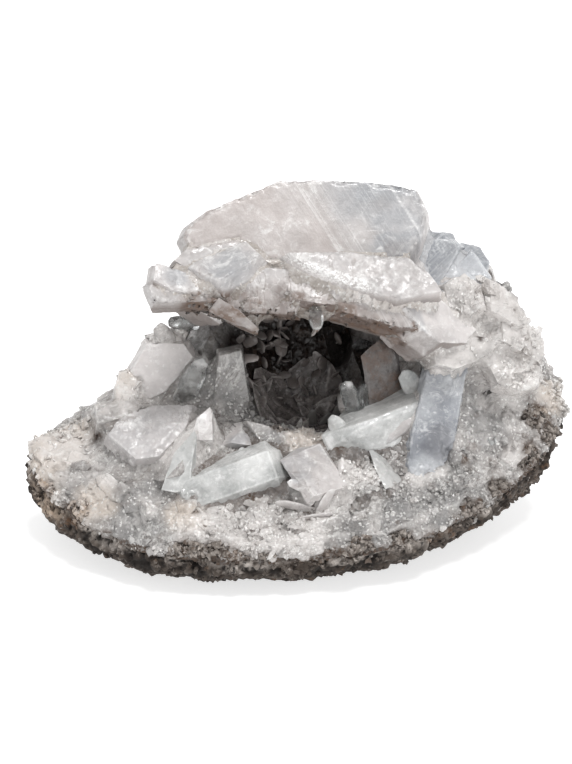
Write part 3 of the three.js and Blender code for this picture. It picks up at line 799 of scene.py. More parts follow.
def bandTop(points):  # the height where the sugary band along the roof's front begins, from left to right
    return roofLook["bandTop"] + 0.45 * np.minimum(0, points[:, 0] + 5) - 0.34 * np.maximum(0, points[:, 0])


def onFront(points):  # the roof's front, from end to end
    return ramp(-points[:, 1], 2.5, 6) * ramp(points[:, 0], -27, -22) * ramp(-points[:, 0], -27, -22)


def belowLip(points):  # how far below the start of the roof's brown lip, which falls away to the right
    return roofLook["lipTop"] - roofLook["lipFall"] * np.maximum(0, points[:, 0] - 1) - points[:, 2]


roof = crispCopy("roofBlades", "roof_blades", roofLook["step"], roofLook["grow"])
points = pointsOf(roof.data)
normals = normalsOf(roof.data)
traits = traitsOf("roof_blades", points, 88)
ridge = -traits["ridge"]
front = onFront(points)
turned = localPoints(points, topBlade)
# The top blade's large face, and the fine slanting lines, the facet's border and the blue end on it.
onTop = ramp(turned[:, 2], 3.4, 4.2) * ramp(-turned[:, 2], -6.2, -5.7)
onTop = onTop * ramp(-np.abs(turned[:, 0] + 4), -29.5, -27.5)
slant = math.radians(topBlade["lines"])
across = turned[:, 0] * math.sin(slant) + turned[:, 1] * math.cos(slant)
lines = cloud(np.stack([across, across * 0, turned[:, 0] * 0.03], axis=1), 1.3, 81, 3)
lineBand = np.exp(-((across - topBlade["linesAt"]) / 3.0) ** 2) + 0.05 + 0.14 * ramp(across, 6, 11)
pastFacet = across - topBlade["facetAt"]
facetLine = ramp(-np.abs(pastFacet + 0.2 * cloud(points, 4, 79, 2)), -0.5, -0.1) * onTop
block, blockEdge, blockTone = shards(points, 5.5, 84)
crumb, crumbEdge, crumbTone = shards(points, 1.9, 87)
lump = shards(points * np.array((1, 1, 0.6)), 3.4, 89)[0]
# The front is sugary under the band's top, lumpy below the lip, and the back is rough.
sugary = ramp(bandTop(points) - points[:, 2] + 2.0 * cloud(points, 6, 93, 2), -0.8, 1.6) * front
backRough = ramp(points[:, 1], 14, 20)
height = 0.05 * lines * lineBand * onTop + (1 - onTop) * (0.18 * block - 0.08 * (1 - blockEdge))
height += (0.03 + 0.2 * sugary + 0.25 * backRough) * (1 - onTop) * (crumb - 0.35 * (1 - crumbEdge)) * 0.8
height += roofLook["lump"] * ramp(belowLip(points), -1, 2) * front * (lump - 0.1)
height += 0.05 * cloud(points, 5.0, 97, 2)
nearRidge = ramp(ridge, -0.55, -0.1)
serrated = onTop * ramp(ridge, -1.3, -0.2)
height -= roofLook["chip"] * nearRidge * patchy(points, 1.8, 101, 2, -0.1, 0.7)
height -= 0.5 * serrated * patchy(points, 1.5, 105, 2, -0.2, 0.5)
moveOut(roof.data, height)
# The face goes from warm on the left to blue on the right, the lip is brown and the hollow's ceiling has
# painted shade.
toBlue = ramp(across + 3 * cloud(points, 8, 99, 3), *topBlade["blueAt"]) * onTop
toBlue = toBlue * (0.6 + 0.4 * patchy(points, 6, 100, 3, -0.4, 0.5))
toWarm = onTop * ramp(-across, -5, 2) * (0.55 + 0.45 * patchy(points, 9, 109, 2, -0.6, 0.6))
rightFacet = ramp(pastFacet, -0.2, 0.2) * onTop
# Painted shade on the roof's undersides, low down over the hollow.
undersideShade = ramp(-normals[:, 2], 0.1, 0.7) * ramp(-points[:, 2], -64, -60)
lip = ramp(belowLip(points) + 1.6 * cloud(points, 5, 103, 3), -1.4, 1.2) * front
lipShade = lip * (0.35 + 0.35 * patchy(points, 3, 117, 3, -0.3, 0.5))
specks = ramp(-traits["crease"], -0.9, -0.2) * patchy(points, 3, 107, 3, 0.15, 0.5)
# A strip of painted glitter runs along the front under the blade's edge.
glitter = ramp(-np.abs(points[:, 2] - 70.2 + 0.33 * points[:, 0]), -1.9, -0.8) * ramp(-points[:, 1], 4.5, 6.5)
glitter *= ramp(points[:, 0], -4, 0) * ramp(-points[:, 0], -20, -14)
tone = (0.12 * crumbTone + 0.25 * traits["tone"]) * (1 - onTop) + 0.2 * glitter
tone += 0.7 * patchAt("white", points)
# Painted highlights along ridges, the facet's border and raised crumbs, with pale chips on the serrated edge.
edge = 0.6 * nearRidge * patchy(points, 2.2, 113, 2, -0.1, 0.6) + sugary * ramp(height, 0.2, 0.7) * 0.3
edge += 0.6 * facetLine + 0.7 * serrated * (1 - 0.7 * rightFacet) * patchy(points, 1.3, 115, 2, -0.1, 0.5)
setValues(
    roof.data,
    tone=capped(tone) * (1 - lip),
    edge=capped(edge) * (1 - undersideShade) * (1 - 0.8 * lip),
    shade=capped(0.35 * patchAt("dusk", points) + undersideShade * 0.75 + lipShade),
    stain=capped(0.7 * lip * patchy(points, 4, 119, 3, -0.3, 0.6) + specks),
    blue=capped(toBlue + patchAt("blue", points)),
    warm=capped(toWarm + 0.5 * sugary),
    calm=capped(onTop + 0.5 * (1 - sugary) * (1 - onTop)),
    strand=across, strands=onTop * capped(lineBand), glitter=glitter,
)
finishPiece(roof, "milky", "milky_celestite", "roof_blades")
print("roof", len(roof.data.polygons))


# Single crystals

# Each is a little larger than its solid, so that it meets its socket. The druse climbs over the foot of one
# that is overgrown.
def single(node, finish, slot, turn, **more):
    look = {"strands": 0.0, "dim": 0.0, "pale": 0.0, "overgrown": 0.0, **more}
    return {"node": node, "finish": finish, "slot": slot, "turn": turn, **look}


singleCrystals = {
    "frontPrism": single("front_prism", "clear", "clear_celestite", (9, 18, 54), blue=0.1, pale=0.1),
    "blueBlade": single(
        "blue_blade", "blue", "blue_celestite", (66, 65, 27), blue=0.7, dim=0.12, overgrown=0.9),
    "wedgeCrystal": single(
        "wedge_crystal", "clear", "clear_celestite", (16, 15, 50), blue=0.3, strands=0.9, pale=0.4),
    "ledgePlate": single(
        "ledge_plate", "milky", "milky_celestite", (6, 6, 35),
        blue=0.3, strands=0.1, pale=0.15, overgrown=1.3),
    "leftPlates": single(
        "left_plates", "milky", "clear_celestite", (30, 50, 60), blue=0.1, pale=0.85, overgrown=0.5),
    "blueFan": single(
        "blue_fan", "blue", "blue_celestite", (20, 40, 50),
        blue=0.75, strands=0.3, dim=0.05, pale=0.05, overgrown=0.8),
}
singleLook = {"step": 0.55, "grow": 0.28, "wave": 0.2, "chip": 0.35, "topShade": 0.4, "crumb": 0.4}
for name, look in singleCrystals.items():
    piece = crispCopy(name, look["node"], singleLook["step"], singleLook["grow"])
    points = pointsOf(piece.data)
    seed = 200 + 10 * len(name)
    traits = traitsOf(look["node"], points, seed)
    nearRidge = ramp(-traits["ridge"], -0.45, -0.08)
    chips = nearRidge * patchy(points, 2.0, seed + 3, 2, 0.0, 0.8)
    fromBed = distanceTo(["crystal_bed"], points)
    buried = ramp(look["overgrown"] - fromBed + 1.4 * cloud(points, 4, seed + 15, 3), -1.7, -0.3)
    crumb, crumbEdge, crumbTone = shards(points, 1.7, seed + 17)
    height = singleLook["wave"] * cloud(points, 3.5, seed + 9, 3) * 0.7 - singleLook["chip"] * chips
    height += singleLook["crumb"] * buried * (crumb - 0.3 * (1 - crumbEdge)) + 0.1 * buried
    upward = ramp(normalsOf(piece.data)[:, 2], 0.6, 0.85)
    moveOut(piece.data, height)
    turned = points @ np.array(axesOf(look["turn"]))
    lined = upward if name == "wedgeCrystal" else np.ones(len(points))
    topShade = singleLook["topShade"] * lined * (name == "wedgeCrystal")
    tone = look["pale"] + 0.3 * traits["tone"] + 0.8 * patchAt("white", points) + 0.5 * buried * crumbTone
    setValues(
        piece.data,
        tone=capped(tone) * (1 - topShade),
        shade=capped(look["dim"] + topShade + 0.5 * patchAt("dusk", points)),
        # Painted highlights along the ridges, fewer where overgrown.
        edge=nearRidge * patchy(points, 3.0, seed + 11, 2, -0.6, 0.2) * (1 - 0.8 * buried) * 0.9,
        stain=0.6 * ramp(-traits["crease"], -0.7, -0.1) * patchy(points, 3, seed + 7, 2, 0.0, 0.5),
        blue=capped(look["blue"] * patchy(points, 7, seed + 13, 2, -0.8, 0.3) + patchAt("blue", points)),
        warm=0.3 * patchAt("beige", points), calm=0.3 * (1 - buried),
        strand=turned[:, 1], strands=look["strands"] * lined * (1 - buried),
    )
    finishPiece(piece, look["finish"], look["slot"], look["node"])
print("single crystals made")


# Sugary growth in the clefts between the crystals, bluer round the fan
growthLook = {"voxel": 0.75, "swell": 2.3, "sink": 0.3, "crumb": 0.35, "aroundFan": 3.0}
solidNodes = [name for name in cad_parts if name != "hollow_crust"]
wholeTree = treeOver(solidNodes)
growth = fillBetween("growth", solidNodes, growthLook["voxel"], growthLook["swell"], growthLook["sink"])
points = pointsOf(growth.data)
seen = (heightOver(wholeTree, points) > -0.16) & (inHollow(points) < 0.3)
seen &= (points[:, 2] > 4) & (patchAt("dusk", points) < 0.4)
corners = cornersOf(growth.data)
seen = seen[corners].any(axis=1)
nearFan = distanceTo(["blue_fan"], points[corners].mean(axis=1)) < growthLook["aroundFan"]
for name, finish, slot, chosen in (
    ("cleftSugar", "sugar", "sugary_celestite", seen & ~nearFan),
    ("cleftBlue", "blue", "blue_celestite", seen & nearFan),
):
    piece = addObject(name, cutOut(name, growth.data, chosen))
    points = pointsOf(piece.data)
    crumb, crumbEdge, crumbTone = shards(points, 2.0, 151)
    onRoof = ramp(points[:, 2], 52, 57)
    moveOut(piece.data, growthLook["crumb"] * (1 - 0.6 * onRoof) * (crumb + 0.2))
    toRock = distanceTo(["rock_bowl"], points)
    earthy = ramp(-toRock + 2.0 * cloud(points, 6, 153, 3), -2.6, -0.2)
    lipHere = ramp(belowLip(points), -1.4, 1.2) * onFront(points)
    tones = bedTones(points)
    tones["tone"] = capped(tones["tone"] + 0.3 * crumbTone) * (1 - earthy) * (1 - lipHere)
    tones["warm"] = capped(tones["warm"] + 0.6 * onRoof)
    tones["stain"] = capped(tones["stain"] * (1 - 0.5 * onRoof) + earthy + 0.5 * lipHere)
    tones["shade"] = capped(tones["shade"] * (1 - onRoof) + 0.4 * earthy * crumbTone + 0.3 * lipHere)
    setValues(piece.data, **tones)
    finishPiece(piece, finish, slot)
    print(name, len(piece.data.polygons))
bpy.data.objects.remove(growth)


# Small crystals, as points and faces about one length high: a four-sided bar with a chisel edge, and a
# rounded blade. `highlight` is how much painted highlight each point gets, at the bar's top and the blade's
# rims.
barForm = {
    "points": np.array([
        (1, 0, -0.6), (0, 1, -0.6), (-1, 0, -0.6), (0, -1, -0.6),
        (1, 0, 0.5), (0, 1, 0.5), (-1, 0, 0.5), (0, -1, 0.5),
        (0.45, 0, 0.75), (-0.45, 0, 0.75),
    ], float),
    "faces": [
        (0, 1, 5, 4), (1, 2, 6, 5), (2, 3, 7, 6), (3, 0, 4, 7),
        (4, 5, 8), (5, 6, 9, 8), (6, 7, 9), (7, 4, 8, 9), (3, 2, 1, 0),
    ],
    "highlight": [0, 0, 0, 0, 0.25, 0.25, 0.25, 0.25, 0.5, 0.5],
    "smooth": False,
}


def roundedForm(rings, sides):
    points = [(0, 0, -0.5)]
    highlight = [0]
    for ring in range(1, rings):
        angle = math.pi * ring / rings
        for side in range(sides):
            turn = 2 * math.pi * side / sides
            across = math.sin(angle) ** 0.7 * math.cos(turn)
            points.append((across, math.sin(angle) * math.sin(turn), 0.25 - 0.75 * math.cos(angle)))
            highlight.append(0.9 * abs(math.cos(turn)) ** 8)
    points.append((0, 0, 1))
    highlight.append(0.9)
    faces = []
    for side in range(sides):
        after = (side + 1) % sides
        rows = [1 + ring * sides for ring in range(rings - 1)]
        faces.append((0, 1 + after, 1 + side))
        faces += [(low + side, low + after, low + sides + after, low + sides + side) for low in rows[:-1]]
        faces.append((rows[-1] + side, rows[-1] + after, len(points) - 1))
    return {"points": np.array(points, float), "faces": faces, "highlight": highlight, "smooth": True}


bladeForm = roundedForm(6, 10)


# Random places on a mesh, spread by area times `keep`, with their normals.
def scatterOn(mesh, keep, count, random):
    points = pointsOf(mesh)
    mesh.calc_loop_triangles()
    corners = rowsOf(mesh.loop_triangles, "vertices", 3, np.int64)
    first, second, third = (points[corners[:, i]] for i in range(3))
    area = np.linalg.norm(np.cross(second - first, third - first), axis=1)
    weight = area * keep[corners].mean(axis=1)
    picked = random.choice(len(corners), count, p=weight / weight.sum())
    share = random.random((count, 2))
    folded = share.sum(axis=1) > 1
    share[folded] = 1 - share[folded]
    place = first[picked] + share[:, :1] * (second - first)[picked] + share[:, 1:] * (third - first)[picked]
    return place, normalsOf(mesh)[corners[picked, 0]], corners[picked, 0]


def crystalsMesh(name, form, places, directions, lengths, widths, thicks, tones, random):
    count = len(places)
    each = len(form["points"])
    up = directions / np.linalg.norm(directions, axis=1)[:, None]
    side = np.cross(up, random.normal(size=(count, 3)))
    side /= np.linalg.norm(side, axis=1)[:, None]
    front = np.cross(up, side)
    sizes = np.stack([widths, thicks, lengths], axis=1)
    shape = form["points"][None] * sizes[:, None] * np.array([0.5, 0.5, 1])
    shape = shape * (1 + (0.04 if form["smooth"] else 0.15) * random.normal(size=shape.shape))
    vertices = places[:, None] + shape[..., :1] * side[:, None] + shape[..., 1:2] * front[:, None]
    vertices = (vertices + shape[..., 2:] * up[:, None]).reshape(-1, 3)
    vertices[:, 2] = np.maximum(vertices[:, 2], 0.05)
    faces = [tuple(corner + each * i for corner in face) for i in range(count) for face in form["faces"]]
    mesh = bpy.data.meshes.new(name)
    mesh.from_pydata((vertices * mm).tolist(), [], faces)
    if form["smooth"]:
        mesh.shade_smooth()
    values = {key: np.repeat(value, each) for key, value in tones.items()}
    # Painted highlights at the tips and rims, fewer where darker.
    values["edge"] = np.tile(form["highlight"], count) * (1 - values["shade"])
    setValues(mesh, **values)
    return addObject(name, mesh)


# Small crystals over a mesh. Their look says how many and how long, the width and thickness for that length,
# how deep they sit, and which way they point: out, at random and to one side. `tonesAt` draws their tones.
def growOver(name, look, form, mesh, keep, tonesAt, finish, slot):
    random = np.random.default_rng(look["seed"])
    places, normals, picked = scatterOn(mesh, keep, look["count"], random)
    if "clear" in look:
        clear = distanceTo(others, places) > look["clear"]
        places, normals, picked = places[clear], normals[clear], picked[clear]
    count = len(places)
    longs = random.uniform(*look["long"], count)
    tones = tonesAt(places, picked, random)
    directions = look["out"] * normals + look["lean"] * random.normal(size=(count, 3)) + look["towards"]
    widths = longs * random.uniform(*look["wide"], count)
    thicks = longs * random.uniform(*look["thick"], count)
    places = places - normals * longs[:, None] * look["sink"]
    piece = crystalsMesh(name, form, places, directions, longs, widths, thicks, tones, random)
    # Faint painted highlights at random, instead of the form's own.
    if "faint" in look:
        faint = np.repeat(look["faint"] * random.random(count), len(form["points"]))
        piece.data.attributes["edge"].data.foreach_set("value", faint.astype(np.float32))
    finishPiece(piece, finish, slot)
    print(name, count)


# Crumbs and small blades of the druse, in patches over the bed, thin on the flat faces of its crystals.
druseLooks = {
    "sugarCrumbs": {
        "count": 2600, "long": (0.6, 1.2), "wide": (0.8, 1.3), "thick": (0.6, 1.1), "seed": 5, "lean": 0.8,
    },
    "sugarBlocks": {
        "count": 420, "long": (1.2, 2.2), "wide": (0.7, 1.2), "thick": (0.5, 0.9), "seed": 6, "lean": 1.3,
    },
    "sugarBlades": {
        "count": 30, "long": (2.6, 4.2), "wide": (0.5, 0.8), "thick": (0.3, 0.5), "seed": 7, "lean": 1.0,
    },
    "icePlates": {
        "count": 44, "long": (1.6, 2.8), "wide": (0.9, 1.4), "thick": (0.3, 0.55), "seed": 9, "lean": 1.2,
    },
}
bedPoints = pointsOf(bed.data)
bedNormals = normalsOf(bed.data)
bedDark = inHollow(bedPoints)
bedDusk = patchAt("dusk", bedPoints)
outward = ramp(bedNormals[:, 2], -0.5, 0.0) * (fromRock > meshing["hidden"])
others = ["roof_blades", "blue_fan", *[look["node"] for look in singleCrystals.values()]]
for name, look in druseLooks.items():
    random = np.random.default_rng(look["seed"])
    patch = ramp(cloud(bedPoints, 10, 140 + look["seed"], 2), -0.4, 0.6)
    keep = outward * (1 - 0.9 * bedDark) * (0.1 + 0.9 * patch + 1.5 * rim) * (1 - 0.95 * bare)
    keep = keep * (0.15 + 0.85 * rough) * (1 - bedDusk)
    places, normals, picked = scatterOn(bed.data, keep, look["count"], random)
    clear = distanceTo(others, places) > 0.25
    places, normals, picked = places[clear], normals[clear], picked[clear]
    count = len(places)
    longs = random.uniform(*look["long"], count) * (0.75 + 0.5 * patch[picked])
    places = places - normals * longs[:, None] * (0.45 if name == "icePlates" else 0.2)
    directions = normals + look["lean"] * random.normal(size=(count, 3)) * 0.6
    tones = bedTones(places)
    tones["tone"] = capped(tones["tone"] + 0.7 * random.random(count) ** 2) * (1 - 0.8 * nearRock[picked])
    tones["blue"] = capped(tones["blue"] + 0.4 * random.random(count))
    tones["stain"] = capped(tones["stain"] + nearRock[picked] * random.random(count))
    druse = crystalsMesh(
        name, barForm, places, directions, longs, longs * random.uniform(*look["wide"], count),
        longs * random.uniform(*look["thick"], count), tones, random,
    )
    finishPiece(druse, "clear" if name == "icePlates" else "sugar", "sugary_celestite")
    print(name, count)


# Brown crumbs of the rock, over the rock itself and over the bed's brown patches.
crumbLook = {"out": 1.0, "lean": 0.8, "towards": np.zeros(3), "wide": (0.8, 1.3), "thick": (0.6, 1.1)}
rockCrumbs = {**crumbLook, "count": 4200, "long": (0.6, 1.5), "sink": 0.15, "faint": 0.15, "seed": 17}
brownCrumbs = {**crumbLook, "count": 700, "long": (0.6, 1.6), "sink": 0.1, "seed": 23}


def rockCrumbTones(places, picked, random):
    tones = rockTones(places)
    tones["tone"] = tones["tone"] * random.random(len(places))
    return tones


def brownCrumbTones(places, picked, random):
    tones = rockTones(places)
    tones["tone"] = 0.5 * random.random(len(places)) ** 3
    return tones


rockPoints = pointsOf(rock.data)
toBed = distanceTo(["crystal_bed"], rockPoints)
keep = ramp(rockPoints[:, 2], 0.8, 2.5) * (toBed > 0.6)
keep = keep * (0.2 + 0.8 * patchy(rockPoints, 8, 401, 2, -0.3, 0.5) + ramp(-toBed, -3, -1))
growOver("rockCrumbs", rockCrumbs, barForm, rock.data, keep, rockCrumbTones, "rock", "matrix_rock")
keep = outward * ramp(brown, 0.4, 0.9) * (1 - bedDark) * (1 - bare)
growOver("brownCrumbs", brownCrumbs, barForm, bed.data, keep, brownCrumbTones, "rock", "matrix_rock")


# Placed crystals

# They can be told apart but are only part of the druse. Each grows from the point of the solids that shows at
# the photograph's pixel of its foot, towards the pixel of its tip, `lift` millimetres nearer. One that is flat
# lies back along the bed, and its tip is over the point of the solids that shows there.
def grown(finish, form, **shape):
    return {"finish": finish, "form": form, "stain": 0, "dim": 0, "flat": False, **shape}


placedCrystals = {
    "lipRoundLeft": grown(
        "glass", "blade", foot=(190, 324), tip=(168, 321), wide=3.6, thick=2.0, roll=0, lift=1),
    "knobLeft": grown(
        "sugar", "blade", foot=(168, 340), tip=(157, 325), wide=4.2, thick=3.0, roll=20, lift=1),
    "lozenge": grown(
        "glass", "blade", foot=(185, 396), tip=(203, 358), wide=5.5, thick=3.0, roll=0, lift=1),
    "whitePeak": grown(
        "milky", "shard", foot=(205, 432), tip=(212, 407), wide=5.4, thick=3.6, roll=10, lift=-3.0),
    "smallRidge": grown(
        "milky", "shard", foot=(240, 441), tip=(239, 422),
        wide=8.5, thick=3.4, roll=10, lift=1.4, flat=True),
    "leaningFacet": grown(
        "clear", "shard", foot=(182, 476), tip=(197, 430), wide=6.8, thick=3.4, roll=10, lift=-4.5),
    "flapTip": grown(
        "milky", "shard", foot=(226, 312), tip=(260, 332),
        wide=4.2, thick=1.4, roll=10, lift=0.6, stain=0.8, dim=0.5),
    "flowerTop": grown(
        "milky", "blade", foot=(316, 490), tip=(287, 482), wide=2.9, thick=0.9, roll=35, lift=0.8),
    "flowerRight": grown(
        "milky", "blade", foot=(322, 508), tip=(333, 488), wide=2.8, thick=0.9, roll=30, lift=0.8),
    "flowerLeft": grown(
        "milky", "blade", foot=(304, 508), tip=(275, 502), wide=2.8, thick=0.9, roll=-25, lift=0.8),
    "flowerFront": grown(
        "milky", "blade", foot=(308, 518), tip=(334, 513), wide=2.6, thick=0.9, roll=40, lift=0.4),
    "flowerMiddle": grown(
        "milky", "blade", foot=(306, 504), tip=(318, 491), wide=2.6, thick=0.9, roll=-30, lift=0.6),
    "glassTipLeft": grown(
        "glass", "blade", foot=(356, 410), tip=(345, 381), wide=4.8, thick=2.4, roll=10, lift=1),
    "glassTipRight": grown(
        "glass", "blade", foot=(364, 406), tip=(361, 384), wide=4.0, thick=2.0, roll=30, lift=1),
    "mouthTipLeft": grown(
        "glass", "blade", foot=(311, 424), tip=(313, 409), wide=2.6, thick=1.6, roll=0, lift=1),
    "mouthTipMiddle": grown(
        "glass", "blade", foot=(322, 424), tip=(331, 412), wide=1.9, thick=1.2, roll=20, lift=0.5),
    "mouthTipRight": grown(
        "glass", "blade", foot=(335, 417), tip=(340, 405), wide=1.9, thick=1.2, roll=0, lift=0.5),
    "linedPlate": grown(
        "milky", "block", foot=(322, 482), tip=(302, 446),
        wide=11.5, thick=2.4, roll=0, lift=1.2, dim=0.1, flat=True),
    "pinkSliver": grown(
        "milky", "blade", foot=(400, 428), tip=(372, 446), wide=3.6, thick=1.4, roll=10, lift=1.0),
    "greyLens": grown(
        "clear", "blade", foot=(338, 428), tip=(350, 454), wide=4.6, thick=1.6, roll=10, lift=0.2),
    "greyBladeLow": grown(
        "clear", "shard", foot=(388, 476), tip=(369, 448),
        wide=6.0, thick=2.0, roll=0, lift=1.0, dim=0.4, flat=True),
    "paleFan": grown(
        "clear", "blade", foot=(416, 391), tip=(402, 371), wide=5.0, thick=1.3, roll=20, lift=0.1, dim=0.3),
    "darkTriangle": grown(
        "smoky", "block", foot=(342, 352), tip=(334, 322), wide=6.5, thick=2.2, roll=20, lift=1),
    "brownPoint": grown(
        "smoky", "block", foot=(372, 374), tip=(360, 340), wide=5.5, thick=2.2, roll=0, lift=1),
    "brownWall": grown(
        "smoky", "block", foot=(386, 396), tip=(376, 344),
        wide=9.5, thick=1.6, roll=25, lift=0.1, stain=0.6, dim=0.62),
    "hangingTip": grown(
        "glass", "blade", foot=(316, 313), tip=(317, 331), wide=3.3, thick=2.2, roll=0, lift=1.5),
}
placedSlots = {
    "clear": "clear_celestite", "sugar": "sugary_celestite", "milky": "milky_celestite",
    "smoky": "smoky_celestite", "glass": "clear_celestite",
}
placedForms = {
    "block": [
        (-1, -0.6, -0.35), (1, -0.6, -0.35), (-0.8, 1, -0.35), (0.8, 1, -0.35), (-0.9, -1, -0.2),
        (0.9, -1, -0.3), (-1, -0.5, 0.85), (0.95, -0.5, 0.95), (-0.8, 1, 0.8), (0.75, 1, 0.9),
        (-0.85, -1, 0.8), (0.8, -1, 0.85), (-0.2, 0.0, 1.0),
    ],
    "shard": [
        (-1, 0.2, -0.35), (1, -0.1, -0.35), (-0.5, 1, -0.35), (0.6, 0.9, -0.35), (-0.6, -1, -0.35),
        (0.5, -1, -0.35), (-0.75, 0.1, 0.3), (0.85, -0.1, 0.38), (0.1, 0.8, 0.4), (-0.1, -0.8, 0.45),
        (-0.18, 0, 0.92), (0.12, 0.1, 1.0),
    ],
    "blade": bladeForm["points"].tolist(),
}
placedLook = {"step": 0.6, "wave": 0.12, "stray": {"blade": 0.03, "block": 0.08, "shard": 0.08}, "seed": 61}


def surfaceAt(pixel):  # where the solids show at a pixel, in metres
    hits = [tree.ray_cast(viewFrom, sightLine(pixel))[0] for tree in treeOf.values()]
    return min((hit for hit in hits if hit), key=lambda hit: hit.y)


# The foot of a placed crystal, its tip, and the directions of its width and thickness.
def standOn(look):
    foot = surfaceAt(look["foot"])
    depth = surfaceAt(look["tip"]).y if look["flat"] else foot.y
    tip = viewFrom + sightLine(look["tip"]) * (depth - look["lift"] * mm - viewFrom.y)
    up = (tip - foot).normalized()
    side = up.cross(Vector((0, 0, 1) if look["flat"] else (0, 1, 0))).normalized()
    side.rotate(Matrix.Rotation(math.radians(look["roll"]), 3, up))
    return foot, tip, side, side.cross(up)


def crystalPoints(look, random):
    foot, tip, side, front = standOn(look)
    stray = placedLook["stray"][look["form"]]
    points = []
    for x, y, z in placedForms[look["form"]]:
        points.append(foot + side * (x + random.normal() * stray) * look["wide"] * mm / 2
                      + front * y * look["thick"] * mm / 2 + (tip - foot) * (z + random.normal() * stray / 2))
    return points


def placedSolid(look, random):
    solid = bmesh.new()
    for point in crystalPoints(look, random):
        solid.verts.new(point)
    hull = bmesh.ops.convex_hull(solid, input=solid.verts)
    inner = [part for part in hull["geom_interior"] if isinstance(part, bmesh.types.BMVert)]
    bmesh.ops.delete(solid, geom=inner, context="VERTS")
    bmesh.ops.triangulate(solid, faces=solid.faces)
    solid.verts.index_update()
    refine(solid, placedLook["step"])
    return solid


def cornersShown(look, solid):  # how much each point of a placed crystal is a corner that catches light
    if look["form"] != "blade":
        return [float(any(not edge.smooth for edge in vert.link_edges)) for vert in solid.verts]
    foot, tip, side, front = standOn(look)
    shown = []
    for vert in solid.verts:
        sideways = abs((vert.co - foot).dot(side)) / (look["wide"] * mm / 2)
        reach = (vert.co - foot).dot(tip - foot) / (tip - foot).length_squared
        shown.append(ramp(max(sideways, reach), 0.7, 0.95))
    return shown


for finish, slot in placedSlots.items():
    random = np.random.default_rng(placedLook["seed"])
    together = bmesh.new()
    corners, shades, stains, dims = [], [], [], []
    for look in placedCrystals.values():
        if look["finish"] != finish:
            continue
        solid = placedSolid(look, random)
        count = len(solid.verts)
        corners += cornersShown(look, solid)
        if look["form"] == "blade":
            for edge in solid.edges:
                edge.smooth = True
        shades += [random.random()] * count
        stains += [look["stain"]] * count
        dims += [look["dim"]] * count
        part = meshFrom("part", solid)
        together.from_mesh(part)
        bpy.data.meshes.remove(part)
    for face in together.faces:
        face.smooth = True
    name = finish + "Tips"
    mesh = meshFrom(name, together)
    points = pointsOf(mesh)
    moveOut(mesh, placedLook["wave"] * cloud(points, 1.8, 71, 2))
    dims = np.array(dims)
    fromSolids = heightOver(wholeTree, points)
    tones = bedTones(points)
    tones["tone"] = capped(tones["tone"] * 0.6 + 0.4 * np.array(shades) + 0.3 * ramp(-fromSolids, -1.2, 0))
    tones["edge"] = 0.6 * np.array(corners) * patchy(points, 2.5, 75, 2, -0.4, 0.4) * (1 - dims)
    tones["shade"] = capped(tones["shade"] + dims)
    tones["stain"] = capped(tones["stain"] * 0.3 + np.array(stains) * patchy(points, 3, 77, 3, -0.6, 0.4))
    tones["calm"] = np.full(len(points), 0.6)
    if finish == "glass":
        tones["tone"] *= 0.1
    if finish == "smoky":
        tones["warm"] *= 0.2
    setValues(mesh, **tones)
    finishPiece(addObject(name, mesh), finish, slot)
print("placed crystals made")


# The sugary band along the front of the roof, with larger crystals that hang from its lip.
roofCrumbs = {
    "count": 220, "long": (0.8, 2.0), "wide": (0.5, 0.9), "thick": (0.3, 0.6), "sink": 0.35,
    "out": 0.5, "lean": 0.6, "towards": np.array((0, 0, -0.7)), "seed": 19,
}


def roofCrumbTones(places, picked, random):
    count = len(places)
    return {
        "tone": 0.5 * random.random(count), "blue": 0.3 * random.random(count),
        "warm": 0.6 * random.random(count), "stain": lip[picked] * random.random(count),
        "shade": capped(undersideShade[picked] * 0.7 + lip[picked] * 0.3),
    }


roofPoints = pointsOf(roof.data)
band = ramp(belowLip(roofPoints), -1.5, 1.5) * onFront(roofPoints)
keep = band * (0.2 + 0.8 * patchy(roofPoints, 6, 403, 2, -0.3, 0.5))
growOver("roofCrumbs", roofCrumbs, barForm, roof.data, keep, roofCrumbTones, "sugar", "sugary_celestite")


# Hollow crust and its smoky blades
crustLook = {"step": 0.8, "grow": 0.1, "wave": 0.2}
crust = crispCopy("hollowCrust", "hollow_crust", crustLook["step"], crustLook["grow"])
points = pointsOf(crust.data)
traits = traitsOf("hollow_crust", points, 300)
moveOut(crust.data, crustLook["wave"] * cloud(points, 2.0, 301, 2))
plain = np.zeros(len(points))
# Painted highlights on the crust's ridges and painted shade in its creases.
setValues(
    crust.data, tone=0.8 * traits["tone"], edge=0.8 * ramp(-traits["ridge"], -0.6, -0.1),
    shade=0.5 * ramp(-traits["crease"], -0.8, -0.1), stain=plain, blue=plain, warm=plain,
)
finishPiece(crust, "smoky", "smoky_celestite", "hollow_crust")

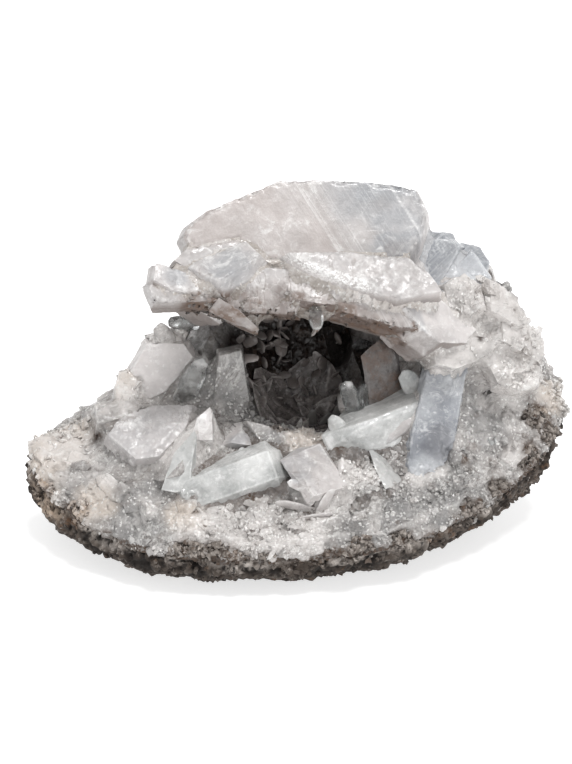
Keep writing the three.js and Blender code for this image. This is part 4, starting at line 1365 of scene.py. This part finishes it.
smokyBlades = {
    "count": 70, "long": (1.6, 3.8), "wide": (0.6, 1.1), "thick": (0.25, 0.5), "sink": 0.0,
    "out": 1.0, "lean": 0.7, "towards": np.array((0, -0.8, 0.3)), "clear": 2.5, "seed": 31,
}


def smokyTones(places, picked, random):
    count = len(places)
    return {
        "tone": 0.4 + 0.6 * random.random(count), "shade": 0.4 * random.random(count) ** 2,
        "stain": random.random(count) * 0.2, "blue": random.random(count) * 0.3,
        "warm": random.random(count) * 0.2, "calm": np.ones(count),
    }


keep = ramp(bedDark, 0.5, 0.9) * ramp(bedNormals[:, 2], -0.3, 0.3)
growOver("smokyBlades", smokyBlades, bladeForm, bed.data, keep, smokyTones, "smoky", "smoky_celestite")


# Stage and light
studio = {"floor": rgb(0.62, 0.62, 0.62), "sky": 0.56, "floorGlow": 0.67}
floorMesh = bpy.data.meshes.new("floor")
floorMesh.from_pydata([(-3, -3, 0), (3, -3, 0), (3, 3, 0), (-3, 3, 0)], [], [(0, 1, 2, 3)])
floor = addObject("floor", floorMesh)
floorFinish = Finish("white floor")
floorMesh.materials.append(floorFinish.surface({
    "Base Color": studio["floor"], "Roughness": 0.9, "Emission Color": rgb(1.0, 1.0, 1.0),
    "Emission Strength": studio["floorGlow"],
}))

world = bpy.data.worlds.new("white studio")
world.use_nodes = True
world.node_tree.nodes["Background"].inputs["Color"].default_value = rgb(1.0, 1.0, 1.0)
world.node_tree.nodes["Background"].inputs["Strength"].default_value = studio["sky"]
bpy.context.scene.world = world

lamps = {
    "key": {"from": (0.15, -0.2, 1.0), "angle": 14.0, "strength": 1.7},
    "fill": {"from": (0.5, -0.9, 0.5), "angle": 40.0, "strength": 0.36},
}
for name, look in lamps.items():
    light = bpy.data.lights.new(name, "SUN")
    light.angle = math.radians(look["angle"])
    light.energy = look["strength"]
    lamp = bpy.data.objects.new(name, light)
    bpy.context.scene.collection.objects.link(lamp)
    lamp.rotation_euler = Vector(look["from"]).to_track_quat("Z", "Y").to_euler()

bpy.context.scene.view_settings.view_transform = "Standard"
print("stage set")
